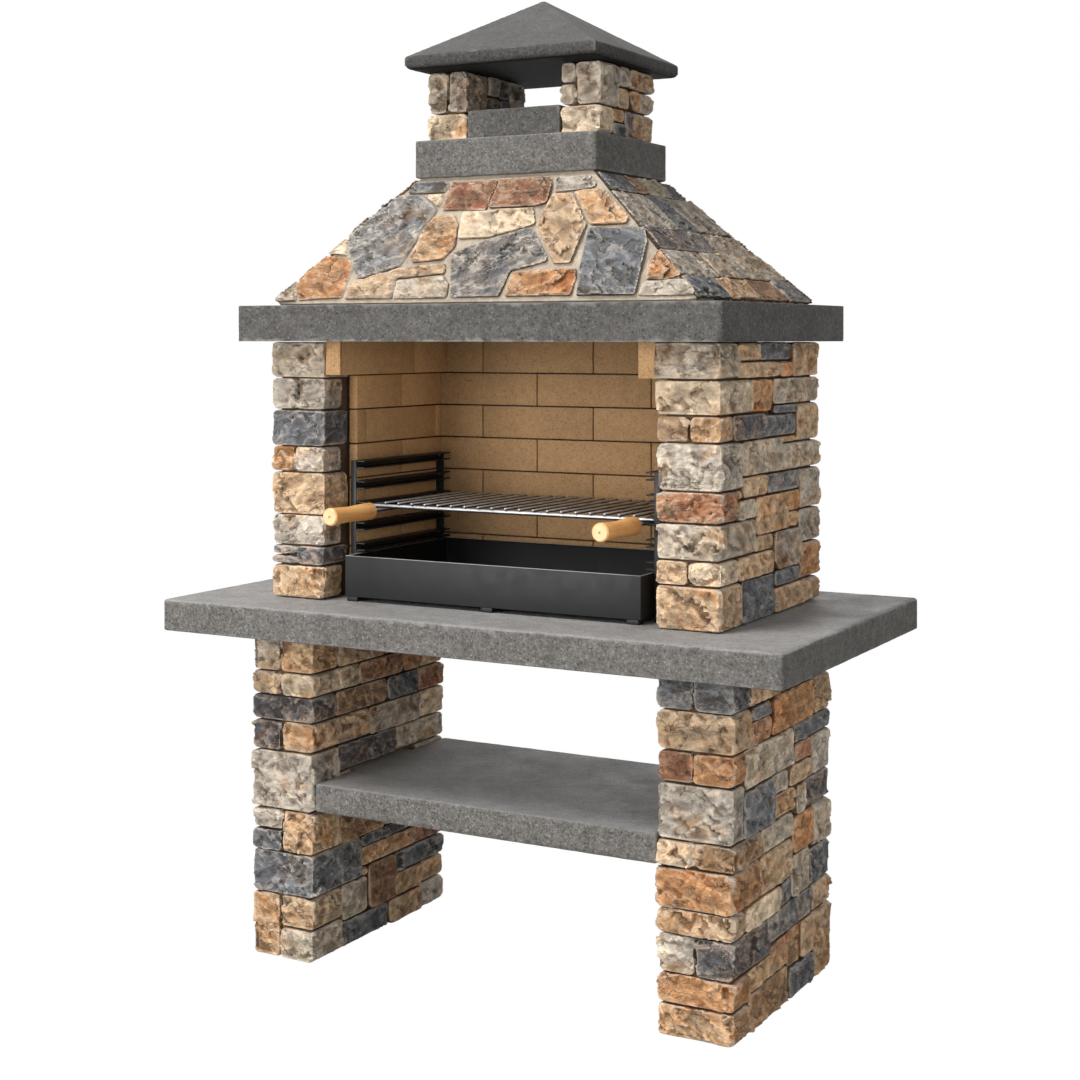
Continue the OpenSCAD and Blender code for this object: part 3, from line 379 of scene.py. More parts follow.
# The kinds of the stones of each node, counted as they rise; other nodes draw theirs from the mix
LAID = {
    "lower_left_front_blocks":
        "dun gold sand slate slate gold pale pale vein tan vein sand cream dun gold",
    "lower_right_front_blocks":
        "gold orange pale vein sand orange cream brown grey redvein orange sand slate slate",
    "upper_left_front_blocks":
        "tan vein vein vein pale sand orange pale slate pale grey dun",
    "upper_right_front_blocks":
        "tan sand cream dun rust pale sand gold cream dun",
    "upper_right_back_blocks":
        "tan orange orange grey dun dun dun sand grey tan tan",
    "lower_right_back_blocks":
        "gold sand sand slate dun vein vein pale slate tan tan sand",
    "lower_left_back_blocks":
        "pale tan tan slate rust sand sand grey dun cream cream rust sand tan tan",
    "lower_left_inner_facing":
        "slate tan gold dun rustbrown tan gold slate grey brown sand vein dun brown slate rust "
        "orange tan orange",
    "lower_left_outer_facing":
        "slate tan gold dun rustbrown tan gold slate grey brown sand sand slate vein dun brown "
        "slate rust orange tan orange",
    "lower_right_outer_facing":
        "slate brown gold brown sand rust slatepale cream slate dun sand orange dun dun gold slate "
        "grey tan rust dun rust orange slate tan dun",
    "lower_right_inner_facing":
        "slate brown gold brown sand rust slatepale cream slate dun sand orange dun gold slate "
        "grey tan rust dun rust orange slate tan dun",
    "upper_right_facing":
        "tan slate slate sand veingrey sand gold gold orange dun tan veinblue tan dun gold blue "
        "vein slate orange dun tan orange tan sand slate",
    "front_flagstones":
        "grey grey dun orange sand orange orange blue slatepale cream gold paleblue sand cream "
        "gold cream redvein redvein grey charcoal",
    "right_flagstones":
        "blue gold rustbrown blue grey dun dun veinblue dun vein grey blue grey slate slate brown "
        "dun",
    "left_pier_blocks": "cream tan dun tan veingrey grey",
    "right_pier_blocks": "cream tan dun dun grey pale dun tan",
    "right_pier_facing": "tan slate tan vein dun gold tan sand sand gold dun tan grey tan",
}


# Shader nodes

def wire(tree, *links):
    for a, b in links:
        tree.links.new(a, b)


def feed(tree, socket, value):
    """Wires an output to an input, or sets the input's value."""
    if isinstance(value, bpy.types.NodeSocket):
        tree.links.new(value, socket)
    else:
        socket.default_value = value


def add(tree, kind, **values):
    """Adds a shader node. Keys are its properties, or in_ and an input's name or number."""
    made = tree.nodes.new(kind)
    for key, value in values.items():
        if key.startswith("in_"):
            feed(tree, made.inputs[int(key[3:]) if key[3:].isdigit() else key[3:]], value)
        else:
            setattr(made, key, value)
    return made


def ramp(tree, value, *stops):
    """A colour ramp with two grey stops given as (position, value)."""
    made = add(tree, "ShaderNodeValToRGB", in_Fac=value)
    for element, (position, level) in zip(made.color_ramp.elements, stops):
        element.position = position
        element.color = (level, level, level, 1)
    return made.outputs["Color"]


def graded(tree, value, start, end, low, high):
    """A value between start and end, moved to the range from low to high."""
    return add(tree, "ShaderNodeMapRange", in_Value=value, in_1=start, in_2=end, in_3=low,
               in_4=high).outputs[0]


def mix(tree, blend, factor, a, b):
    """A colour mix of two sockets or colours."""
    made = add(tree, "ShaderNodeMix", data_type="RGBA", blend_type=blend)
    feed(tree, made.inputs[0], factor)
    for index, value in ((6, a), (7, b)):
        socket = isinstance(value, bpy.types.NodeSocket)
        feed(tree, made.inputs[index], value if socket else (*value, 1.0))
    return made.outputs[2]


def maths(tree, operation, a, b, clamp=False):
    return add(tree, "ShaderNodeMath", operation=operation, use_clamp=clamp, in_0=a,
               in_1=b).outputs[0]


def times(tree, *factors):
    """The product of sockets and numbers."""
    made = factors[0]
    for factor in factors[1:]:
        made = maths(tree, "MULTIPLY", made, factor)
    return made


def vector_maths(tree, operation, a, b):
    return add(tree, "ShaderNodeVectorMath", operation=operation, in_0=a, in_1=b)


def stored(tree, name, output="Fac"):
    """What a piece has stored under a name."""
    return add(tree, "ShaderNodeAttribute", attribute_name=name).outputs[output]


def facing(tree):
    """The parts of the surface's direction, as outputs X, Y and Z."""
    normal = tree.nodes.new("ShaderNodeNewGeometry").outputs["Normal"]
    return add(tree, "ShaderNodeSeparateXYZ", in_0=normal).outputs


def stretched(tree, vector, *scale):
    return add(tree, "ShaderNodeMapping", in_Vector=vector, in_Scale=scale).outputs[0]


def group_of(name, inputs, outputs):
    """A new shader node group with named float sockets after its Vector, as (tree, inputs,
    outputs)."""
    tree = bpy.data.node_groups.new(name, "ShaderNodeTree")
    tree.interface.new_socket(name="Vector", in_out="INPUT", socket_type="NodeSocketVector")
    for label, value in inputs.items():
        socket = tree.interface.new_socket(name=label, in_out="INPUT",
                                           socket_type="NodeSocketFloat")
        socket.default_value = value
    for label in outputs:
        tree.interface.new_socket(name=label, in_out="OUTPUT", socket_type="NodeSocketFloat")
    made = tree.nodes.new("NodeGroupInput").outputs, tree.nodes.new("NodeGroupOutput").inputs
    return tree, *made


def placed(tree, name, vector, **values):
    """Places a shared group in a material."""
    made = tree.nodes.new("ShaderNodeGroup")
    made.node_tree = bpy.data.node_groups.get(name) or GROUPS[name]()
    for key, value in {"Vector": vector, **values}.items():
        feed(tree, made.inputs[key], value)
    return made.outputs


def mottle_group():
    """Cloudy change of value over a surface, coarse and fine."""
    tree, i, o = group_of("Mottle", {"Size": 20.0, "Low": 0.8, "High": 1.2}, ("Value", "Mask"))
    noise = add(tree, "ShaderNodeTexNoise", in_Vector=i["Vector"], in_Scale=i["Size"],
                in_Detail=6.0, in_Roughness=0.62).outputs[0]
    wire(tree, (graded(tree, noise, 0.3, 0.7, i["Low"], i["High"]), o["Value"]),
         (noise, o["Mask"]))
    return tree


def fleck_group():
    """Small specks of sand and stone, scattered at random."""
    tree, i, o = group_of("Flecks", {"Size": 200.0, "Share": 0.2, "Radius": 0.3}, ("Mask",))
    cells = add(tree, "ShaderNodeTexVoronoi", in_Vector=i["Vector"], in_Scale=i["Size"])
    channel = add(tree, "ShaderNodeSeparateColor", in_Color=cells.outputs["Color"])
    chosen = maths(tree, "LESS_THAN", channel.outputs[0], i["Share"])
    near = graded(tree, cells.outputs["Distance"], 0.0, i["Radius"], 1.0, 0.0)
    wire(tree, (maths(tree, "MULTIPLY", chosen, near, clamp=True), o["Mask"]))
    return tree


def wandering(tree, vector, size, amount):
    """A vector moved about by noise, so that what reads it has wavering outlines."""
    noise = add(tree, "ShaderNodeTexNoise", in_Vector=vector, in_Scale=size, in_Detail=3.0)
    centred = vector_maths(tree, "SUBTRACT", noise.outputs["Color"], (0.5, 0.5, 0.5))
    scaled = add(tree, "ShaderNodeVectorMath", operation="SCALE", in_0=centred.outputs[0],
                 in_Scale=amount)
    return vector_maths(tree, "ADD", vector, scaled.outputs[0]).outputs[0]


def crack_group():
    """Thin wandering lines, as veins and cracks, shown over a share of the surface."""
    tree, i, o = group_of("Cracks", {"Size": 10.0, "Width": 0.03, "Wander": 0.05, "Share": 0.5},
                          ("Mask",))
    cells = add(tree, "ShaderNodeTexVoronoi", feature="DISTANCE_TO_EDGE", in_Scale=i["Size"],
                in_Vector=wandering(tree, i["Vector"], 28.0, i["Wander"]))
    line = graded(tree, cells.outputs["Distance"], 0.0, i["Width"], 1.0, 0.0)
    here = add(tree, "ShaderNodeTexNoise", in_Vector=i["Vector"], in_Scale=14.0, in_Detail=2.0)
    low = maths(tree, "SUBTRACT", 0.78, times(tree, i["Share"], 0.5))
    above = maths(tree, "SUBTRACT", here.outputs[0], low)
    shown = maths(tree, "MULTIPLY", above, 8.0, clamp=True)
    wire(tree, (maths(tree, "MULTIPLY", line, shown, clamp=True), o["Mask"]))
    return tree


def flake_group():
    """Flat facets that lean their own way and meet in creases, as where flakes broke off."""
    tree, i, o = group_of("Flakes", {"Size": 40.0, "Wander": 0.012}, ("Height", "Value"))
    where = wandering(tree, i["Vector"], 60.0, i["Wander"])
    cells = add(tree, "ShaderNodeTexVoronoi", in_Scale=i["Size"], in_Vector=where).outputs
    way = vector_maths(tree, "SUBTRACT", where, cells["Position"])
    lean = vector_maths(tree, "SUBTRACT", cells["Color"], (0.5, 0.5, 0.5))
    tilt = vector_maths(tree, "DOT_PRODUCT", way.outputs[0], lean.outputs[0])
    channel = add(tree, "ShaderNodeSeparateColor", in_Color=cells["Color"])
    wire(tree, (times(tree, tilt.outputs["Value"], i["Size"]), o["Height"]),
         (channel.outputs[1], o["Value"]))
    return tree


def crumple_group():
    """Sharp crests that branch between rounded hollows, as on freshly split rock."""
    tree, i, o = group_of("Crumple", {"Size": 20.0}, ("Height",))
    noise = add(tree, "ShaderNodeTexNoise", noise_type="RIDGED_MULTIFRACTAL",
                in_Vector=i["Vector"], in_Scale=i["Size"], in_Detail=5.0, in_Roughness=0.5,
                in_Lacunarity=2.2, in_Offset=1.0, in_Gain=1.6)
    wire(tree, (graded(tree, noise.outputs[0], 0.4, 1.8, 0.0, 1.0), o["Height"]))
    return tree


GROUPS = {"Mottle": mottle_group, "Flecks": fleck_group, "Cracks": crack_group,
          "Flakes": flake_group, "Crumple": crumple_group}


# Materials

# Colours that no setting changes, in the linear values that shaders use
CRACK_EARTH, HOLLOW_SHADE, JOINT_SHADE = (0.2, 0.14, 0.09), (0.34, 0.26, 0.19), (0.3, 0.23, 0.16)
IRON_STAIN, RIDGE_HIGHLIGHT = (1.12, 0.78, 0.48), (1.28, 1.25, 1.2)
VEIN_PALE, RIM_WEAR_AND_HIGHLIGHT = (0.7, 0.6, 0.48), (0.66, 0.59, 0.5)
CAST_FLECK, CAST_PIT, CAST_RIM = (0.42, 0.4, 0.37), (0.25, 0.25, 0.25), (0.42, 0.41, 0.39)
SOOT_AND_SHADE, UNDERSIDE_SHADE = (0.05, 0.045, 0.04), (0.07, 0.065, 0.06)
MORTAR_SPECK, BRICK_SPECK = (0.45, 0.38, 0.3), (0.45, 0.32, 0.2)
PAINT_DUST, PAINT_LIP_HIGHLIGHT, PAINT_INSIDE_DARK = (0.2, 0.2, 0.2), (0.36, 0.36, 0.36), (0.35, 0.35, 0.35)
WOOD_PORE, WOOD_END = (0.4, 0.22, 0.12), (0.98, 0.66, 0.38)
FLOOR_GREY = (0.4, 0.4, 0.39)


def made_once(maker, name, *values):
    """The material of this name. A new one is wired by its maker, which is given the node tree
    and the Principled BSDF's inputs."""
    made = bpy.data.materials.get(name)
    if made is None:
        made = bpy.data.materials.new(name)
        made.use_nodes = True
        maker(made.node_tree, made.node_tree.nodes["Principled BSDF"].inputs, *values)
    return made


def object_coordinates(tree):
    return tree.nodes.new("ShaderNodeTexCoord").outputs["Object"]


def mottled(tree, colour, where, *layers, share=1.0):
    """A colour made cloudy by layers of (size, low, high)."""
    for size, low, high in layers:
        cloudy = placed(tree, "Mottle", where, Size=size, Low=low, High=high)
        colour = mix(tree, "MULTIPLY", share, colour, cloudy["Value"])
    return colour


def uneven(tree, where, size, low, high):
    """A roughness that changes over the surface."""
    return placed(tree, "Mottle", where, Size=size, Low=low, High=high)["Value"]


def grit(tree, where, size):
    """A fine height for a bump."""
    return placed(tree, "Mottle", where, Size=size)["Mask"]


def finish(tree, shader, colour, roughness, height, strength, distance):
    """Gives a surface its colour, roughness and bump."""
    feed(tree, shader["Base Color"], colour)
    feed(tree, shader["Roughness"], roughness)
    made = add(tree, "ShaderNodeBump", in_Height=height, in_Strength=strength,
               in_Distance=distance)
    tree.links.new(made.outputs[0], shader["Normal"])


def stone_material(tree, shader):
    """Broken natural stone: two colours in patches, facets, sharp crests painted lighter than their
    hollows, veins and iron stains, painted shade in the hollows and joints, a painted highlight on
    the ridges, and pale rims, part wear and part painted highlight."""
    tone, stain = stored(tree, "tone", "Color"), stored(tree, "stain", "Color")
    relief, joint = stored(tree, "relief"), stored(tree, "joint")
    grain = stored(tree, "grain", "Vector")
    layered = stretched(tree, grain, 1.0, 1.0, 1.8)
    coarse = placed(tree, "Flakes", layered, Size=34.0, Wander=0.012)
    small = placed(tree, "Flakes", layered, Size=95.0, Wander=0.005)
    crumple = placed(tree, "Crumple", layered, Size=17.0)["Height"]
    patch = ramp(tree, grit(tree, layered, 15.0), (0.4, 0.0), (0.6, 1.0))
    colour = mix(tree, "MIX", times(tree, patch, stored(tree, "stained")), tone, stain)
    # The flakes' tones differ at random; the crumple's crests are painted lighter and its hollows
    # darker, as painted light and shade.
    for value, *span in ((coarse["Value"], 0.0, 1.0, 0.84, 1.16),
                         (small["Value"], 0.0, 1.0, 0.88, 1.12), (crumple, 0.15, 0.85, 0.69, 1.26)):
        colour = mix(tree, "MULTIPLY", 1.0, colour, graded(tree, value, *span))
    colour = mottled(tree, colour, grain, (30.0, 0.86, 1.14), (480.0, 0.78, 1.2))
    crack = placed(tree, "Cracks", layered, Size=11.0, Width=0.026, Wander=0.08, Share=0.7)
    colour = mix(tree, "MULTIPLY", times(tree, crack["Mask"], 0.8), colour, CRACK_EARTH)
    iron = times(tree, ramp(tree, grit(tree, layered, 9.0), (0.52, 0.0), (0.64, 1.0)),
                 ramp(tree, crumple, (0.3, 0.9), (0.7, 0.35)))
    colour = mix(tree, "MULTIPLY", iron, colour, IRON_STAIN)
    pale = mix(tree, "MIX", 0.5, stain, VEIN_PALE)
    # Painted highlight: the crumple's highest crests are mixed toward the pale colour.
    colour = mix(tree, "MIX", ramp(tree, crumple, (0.7, 0.0), (0.86, 0.4)), colour, pale)
    for size, width, strength in ((15.0, 0.02, 0.95), (38.0, 0.03, 0.6)):
        vein = placed(tree, "Cracks", layered, Size=size, Width=width, Wander=0.13, Share=0.75)
        colour = mix(tree, "MIX", times(tree, vein["Mask"], strength), colour, pale)
    # Painted shade: the hollows of the relief are darkened.
    hollow = times(tree, ramp(tree, relief, (0.22, 1.0), (0.46, 0.0)), 0.7)
    colour = mix(tree, "MULTIPLY", hollow, colour, HOLLOW_SHADE)
    # Painted highlight: the ridges of the relief are brightened.
    ridge = ramp(tree, relief, (0.57, 0.0), (0.74, 1.0))
    colour = mix(tree, "MULTIPLY", ridge, colour, RIDGE_HIGHLIGHT)
    # Pale rims along the stones' edges: partly wear, partly a painted highlight.
    worn = times(tree, maths(tree, "SUBTRACT", stored(tree, "rim"), joint, clamp=True),
                 ramp(tree, relief, (0.5, 0.0), (0.6, 0.75)))
    colour = mix(tree, "MIX", worn, colour, RIM_WEAR_AND_HIGHLIGHT)
    # Painted shade: the stones' sides in the joints are darkened.
    colour = mix(tree, "MULTIPLY", ramp(tree, joint, (0.35, 0.0), (0.95, 1.0)), colour, JOINT_SHADE)
    height = coarse["Height"]
    for part, share in ((small["Height"], 0.3), (crumple, 0.4), (grit(tree, grain, 330.0), 0.12),
                        (crack["Mask"], -0.2)):
        height = maths(tree, "ADD", height, times(tree, part, share))
    finish(tree, shader, colour, uneven(tree, grain, 60.0, 0.62, 0.92), height, 0.75, 0.014)


def concrete_material(tree, shader):
    """Dark cast concrete: speckled sides, smoother tops painted paler as painted light, worn edges,
    and a sooty chimney cap underside, darkened further as painted shade.
    """
    settings = bpy.context.scene.barbecue_cast
    where, up = object_coordinates(tree), facing(tree)["Z"]
    top = ramp(tree, up, (0.6, 0.0), (0.9, 1.0))
    side = maths(tree, "SUBTRACT", 1.0, times(tree, top, 0.6))
    # Painted light: the tops get a paler colour, standing in for the light that falls on them from
    # above.
    colour = mix(tree, "MIX", top, settings.colour, settings.top)
    colour = mottled(tree, colour, where, (4.0, 0.9, 1.1), (20.0, 0.86, 1.14))
    colour = mottled(tree, colour, where, (70.0, 0.76, 1.24), (150.0, 0.6, 1.4),
                     (400.0, 0.5, 1.5), share=side)
    pale = placed(tree, "Flecks", where, Size=190.0, Share=0.18, Radius=0.5)["Mask"]
    colour = mix(tree, "MIX", times(tree, pale, 0.7, side), colour, CAST_FLECK)
    dark = placed(tree, "Flecks", where, Size=130.0, Share=0.36, Radius=0.5)["Mask"]
    colour = mix(tree, "MULTIPLY", times(tree, dark, 0.8, side), colour, CAST_PIT)
    colour = mix(tree, "MULTIPLY", 1.0, colour, stored(tree, "tone"))
    worn = ramp(tree, stored(tree, "relief"), (0.6, 0.0), (0.9, 1.0))
    colour = mix(tree, "MIX", times(tree, worn, 0.55), colour, CAST_RIM)
    # The chimney cap's underside is darkened nearly to black: sooty, and painted shade besides.
    under = ramp(tree, times(tree, up, -1.0), (0.6, 0.0), (0.9, 1.0))
    sooted_and_shaded = times(tree, stored(tree, "soot"), under)
    colour = mix(tree, "MULTIPLY", sooted_and_shaded, colour, SOOT_AND_SHADE)
    shader["Specular IOR Level"].default_value = 0.3
    roughness = maths(tree, "MAXIMUM", uneven(tree, where, 9.0, 0.6, 0.82), sooted_and_shaded)
    height = maths(tree, "SUBTRACT", grit(tree, where, 240.0), dark)
    finish(tree, shader, colour, roughness, height, 0.5, 0.0025)


def mortar_material(tree, shader, base):
    """Sandy mortar."""
    where = object_coordinates(tree)
    sand = placed(tree, "Flecks", where, Size=260.0, Share=0.3, Radius=0.45)["Mask"]
    colour = mottled(tree, base, where, (9.0, 0.82, 1.16), (60.0, 0.8, 1.18))
    colour = mix(tree, "MULTIPLY", times(tree, sand, 0.7), colour, MORTAR_SPECK)
    finish(tree, shader, colour, 0.92, grit(tree, where, 150.0), 0.8, 0.005)


def firebrick_material(tree, shader):
    """Smooth tan firebrick, each brick a little different, with fine dark specks."""
    where = object_coordinates(tree)
    colour = mix(tree, "MULTIPLY", 1.0, bpy.context.scene.barbecue_hearth.firebrick,
                 stored(tree, "tone", "Color"))
    colour = mottled(tree, colour, where, (7.0, 0.93, 1.07), (45.0, 0.92, 1.08),
                     (170.0, 0.84, 1.16), (420.0, 0.76, 1.24))
    specks = placed(tree, "Flecks", where, Size=170.0, Share=0.32, Radius=0.45)["Mask"]
    colour = mix(tree, "MULTIPLY", times(tree, specks, 0.8), colour, BRICK_SPECK)
    finish(tree, shader, colour, 0.85, grit(tree, where, 220.0), 0.35, 0.002)


def painted_steel_material(tree, shader, roughness):
    """Baked black paint: a faint orange peel, dust, a painted highlight on the lip and a darker
    inside.
    """
    where = object_coordinates(tree)
    dust = placed(tree, "Flecks", where, Size=420.0, Share=0.08, Radius=0.3)["Mask"]
    colour = mottled(tree, bpy.context.scene.barbecue_grill.paint, where, (16.0, 0.85, 1.2))
    colour = mix(tree, "MIX", times(tree, dust, 0.25), colour, PAINT_DUST)
    # Painted highlight: the lip's top edge is paler.
    colour = mix(tree, "MIX", stored(tree, "lip"), colour, PAINT_LIP_HIGHLIGHT)
    # The tray's inside faces are darker.
    colour = mix(tree, "MULTIPLY", stored(tree, "soot"), colour, PAINT_INSIDE_DARK)
    shader["Specular IOR Level"].default_value = 0.36
    finish(tree, shader, colour, uneven(tree, where, 30.0, roughness - 0.06, roughness + 0.08),
           grit(tree, where, 380.0), 0.12, 0.001)


def plated_rod_material(tree, shader):
    """Plated rod: bright, with painted shade darkening its underside. bright above, and darkened by
    the fire below.
    """
    where = object_coordinates(tree)
    shader["Metallic"].default_value = 0.3
    colour = mottled(tree, bpy.context.scene.barbecue_grill.steel, where, (26.0, 0.62, 1.06))
    # Painted shade: the rod's underside is darkened.
    below = maths(tree, "SUBTRACT", 0.5, facing(tree)["Z"])
    colour = mix(tree, "MULTIPLY", ramp(tree, below, (0.15, 0.0), (0.65, 1.0)), colour, UNDERSIDE_SHADE)
    finish(tree, shader, colour, uneven(tree, where, 70.0, 0.26, 0.36), grit(tree, where, 600.0),
           0.08, 0.0006)


def wood_material(tree, shader):
    """Turned beech under clear varnish: long grain, short dark pores and pale end grain."""
    settings = bpy.context.scene.barbecue_grill
    where = object_coordinates(tree)
    rings = ramp(tree, grit(tree, stretched(tree, where, 1.0, 0.07, 1.0), 95.0), (0.38, 0.0),
                 (0.66, 1.0))
    colour = mix(tree, "MIX", rings, settings.wood, settings.wood_dark)
    colour = mottled(tree, colour, where, (14.0, 0.88, 1.12))
    pores = placed(tree, "Flecks", stretched(tree, where, 1.0, 0.12, 1.0), Size=520.0, Share=0.35,
                   Radius=0.4)["Mask"]
    colour = mix(tree, "MULTIPLY", times(tree, pores, 0.5), colour, WOOD_PORE)
    end = ramp(tree, times(tree, facing(tree)["Y"], -1.0), (0.75, 0.0), (0.95, 0.6))
    colour = mix(tree, "MIX", end, colour, WOOD_END)
    shader["Coat Weight"].default_value = 0.25
    shader["Coat Roughness"].default_value = 0.25
    finish(tree, shader, colour, 0.42, pores, 0.2, 0.0005)


def floor_material(tree, shader):
    """A grey floor that the camera sees white, as the photograph's ground is."""
    shader["Base Color"].default_value = (*FLOOR_GREY, 1)
    shader["Roughness"].default_value = 1.0
    white = add(tree, "ShaderNodeEmission", in_Color=(1, 1, 1, 1), in_Strength=1.0)
    rays = tree.nodes.new("ShaderNodeLightPath").outputs
    seen = maths(tree, "MAXIMUM", rays["Is Camera Ray"], rays["Is Transmission Ray"])
    blend = add(tree, "ShaderNodeMixShader", in_0=seen, in_2=white.outputs[0],
                in_1=tree.nodes["Principled BSDF"].outputs[0])
    wire(tree, (blend.outputs[0], tree.nodes["Material Output"].inputs["Surface"]))


# Settings

def linear(*rgb):
    """A colour given as it looks on screen, in the linear values that shaders use."""
    return tuple(round(((c / 255 + 0.055) / 1.055) ** 2.4, 4) for c in rgb)


def colour_setting(name, description, *rgb):
    return FloatVectorProperty(name=name, description=description, subtype="COLOR", size=3,
                               min=0.0, max=1.0, default=linear(*rgb))


def stone_setting(kind, *rgb):
    return colour_setting(kind.capitalize(), f"Main colour of the {kind} stones", *rgb)


def power_setting(name, description, watts):
    return FloatProperty(name=name, description=description, default=watts, min=0.0, max=2000.0,
                         unit="POWER")


class BarbecueStone(bpy.types.PropertyGroup):
    roughness: FloatProperty(name="Roughness", default=1.0, min=0.0, max=2.0, subtype="FACTOR",
                             description="How deeply the stones' faces are broken")
    tan: stone_setting("tan", 190, 152, 114)
    sand: stone_setting("sandy", 210, 182, 148)
    cream: stone_setting("cream", 236, 214, 184)
    gold: stone_setting("golden", 194, 146, 98)
    dun: stone_setting("dun", 182, 164, 140)
    ochre: stone_setting("orange", 188, 134, 86)
    rust: stone_setting("rust-red", 152, 96, 66)
    brown: stone_setting("brown", 146, 114, 80)
    slate: stone_setting("dark slate", 93, 95, 100)
    blue: stone_setting("blue-grey", 122, 124, 128)
    grey: stone_setting("grey", 166, 156, 145)
    pale: stone_setting("pale grey", 202, 190, 174)
    mortar: colour_setting("Mortar", "Colour of the mortar in the pillars' joints", 104, 82, 62)
    pointing: colour_setting("Pointing", "Colour of the mortar between the flagstones",
                             176, 163, 145)


class BarbecueCast(bpy.types.PropertyGroup):
    colour: colour_setting("Colour", "Colour of the cast slabs' sides", 104, 101, 97)
    # The tops' paler colour is painted light from above.
    top: colour_setting("Top", "Colour of the cast slabs' smoother tops", 142, 140, 138)
    edge: FloatProperty(name="Edge", description="Grid that the slabs' worn edges are cut on",
                        default=0.005, min=0.004, max=0.02, unit="LENGTH")


class BarbecueHearth(bpy.types.PropertyGroup):
    firebrick: colour_setting("Firebrick", "Colour of the firebricks", 186, 147, 103)
    bevel: FloatProperty(name="Bevel", description="Rounding of the firebricks' edges",
                         default=0.0016, min=0.0, max=0.004, unit="LENGTH")


class BarbecueGrill(bpy.types.PropertyGroup):
    steel: colour_setting("Steel", "Colour of the plated rods", 232, 232, 234)
    paint: colour_setting("Paint", "Colour of the black paint", 25, 26, 26)
    wood: colour_setting("Wood", "Light colour of the handles", 252, 194, 122)
    wood_dark: colour_setting("Dark wood", "Dark colour of the handles", 240, 166, 96)


class BarbecueStage(bpy.types.PropertyGroup):
    sky: FloatProperty(name="Sky", description="Strength of the even light all round",
                       default=0.34, min=0.0, max=2.0)
    key: power_setting("Key light", "Power of the high light from the front left", 430.0)
    front: power_setting("Front light", "Power of the low light that reaches the hearth", 175.0)
    fill: power_setting("Fill light", "Power of the soft light from the front right", 54.0)
    back: power_setting("Back light", "Power of the soft light behind", 90.0)
    lens: FloatProperty(name="Lens", description="Focal length of the camera", default=60.62,
                        min=10.0, max=300.0, unit="CAMERA")
    turn: FloatProperty(name="Turn", description="Turn of the camera about the upright",
                        default=math.radians(28.81), unit="ROTATION")


# Stage

FLOOR_SIZE = 60
LIGHT_AIM = Vector((0.0, 0.0, 1.1))
# Each lamp's setting, size and place
LAMPS = (("key", 3.0, (-1.6, -3.1, 6.9)), ("front", 2.6, (-2.2, -5.6, 1.7)),
         ("fill", 3.0, (3.4, -4.4, 1.5)), ("back", 2.0, (-1.5, 5.5, 1.1)))
CAMERA_PLACE, SENSOR, SHIFT_Y = (1.9965, -3.6369, 1.4125), 36.0, -0.187


class BARBECUE_OT_stage(bpy.types.Operator):
    """Sets up the floor, the soft studio light and the camera"""
    bl_idname = "barbecue.stage"
    bl_label = "Stage"

    def execute(self, context):
        settings = context.scene.barbecue_stage
        bpy.ops.object.select_all(action="DESELECT")
        bpy.ops.mesh.primitive_plane_add(size=FLOOR_SIZE)
        floor = context.object
        floor.name = "floor"
        floor.data.materials.append(made_once(floor_material, "pale_floor"))

        world = bpy.data.worlds.new("studio")
        context.scene.world = world
        world.use_nodes = True
        tree = world.node_tree
        sky = tree.nodes["Background"].inputs
        sky["Color"].default_value = (1, 1, 1, 1)
        rays = tree.nodes.new("ShaderNodeLightPath").outputs
        seen = maths(tree, "MAXIMUM", rays["Is Glossy Ray"], rays["Is Transmission Ray"])
        seen = maths(tree, "MAXIMUM", rays["Is Camera Ray"], seen)
        blend = add(tree, "ShaderNodeMix", data_type="FLOAT", in_0=seen, in_2=settings.sky,
                    in_3=1.0)
        wire(tree, (blend.outputs[0], sky["Strength"]))

        for name, size, place in LAMPS:
            bpy.ops.object.light_add(type="AREA", location=place)
            lamp = context.object
            lamp.name = name + "_light"
            lamp.data.energy = getattr(settings, name)
            lamp.data.size = size
            lamp.rotation_euler = (LIGHT_AIM - Vector(place)).to_track_quat("-Z", "Y").to_euler()

        bpy.ops.object.camera_add(location=CAMERA_PLACE,
                                  rotation=(math.radians(90), 0, settings.turn))
        camera = context.object
        camera.data.lens = settings.lens
        camera.data.sensor_width = SENSOR
        camera.data.shift_y = SHIFT_Y
        context.scene.camera = camera
        context.scene.view_settings.view_transform = "Standard"
        return {"FINISHED"}


# Slabs

# Each cast slab and how bright its concrete is
CAST_TONES = {"worktop": 1.0, "shelf": 1.1, "hood_slab": 0.65, "chimney_slab": 0.88,
              "chimney_cap": 0.33, "front_sill": 0.7, "back_sill": 0.7, "rear_wall": 0.9}
# Size and strength of the unevenness, share of the faces kept, and relief that counts as full
CAST_RIPPLE, CAST_STRENGTH, CAST_KEPT, CAST_RELIEF = 0.03, 0.0012, 0.4, 0.005


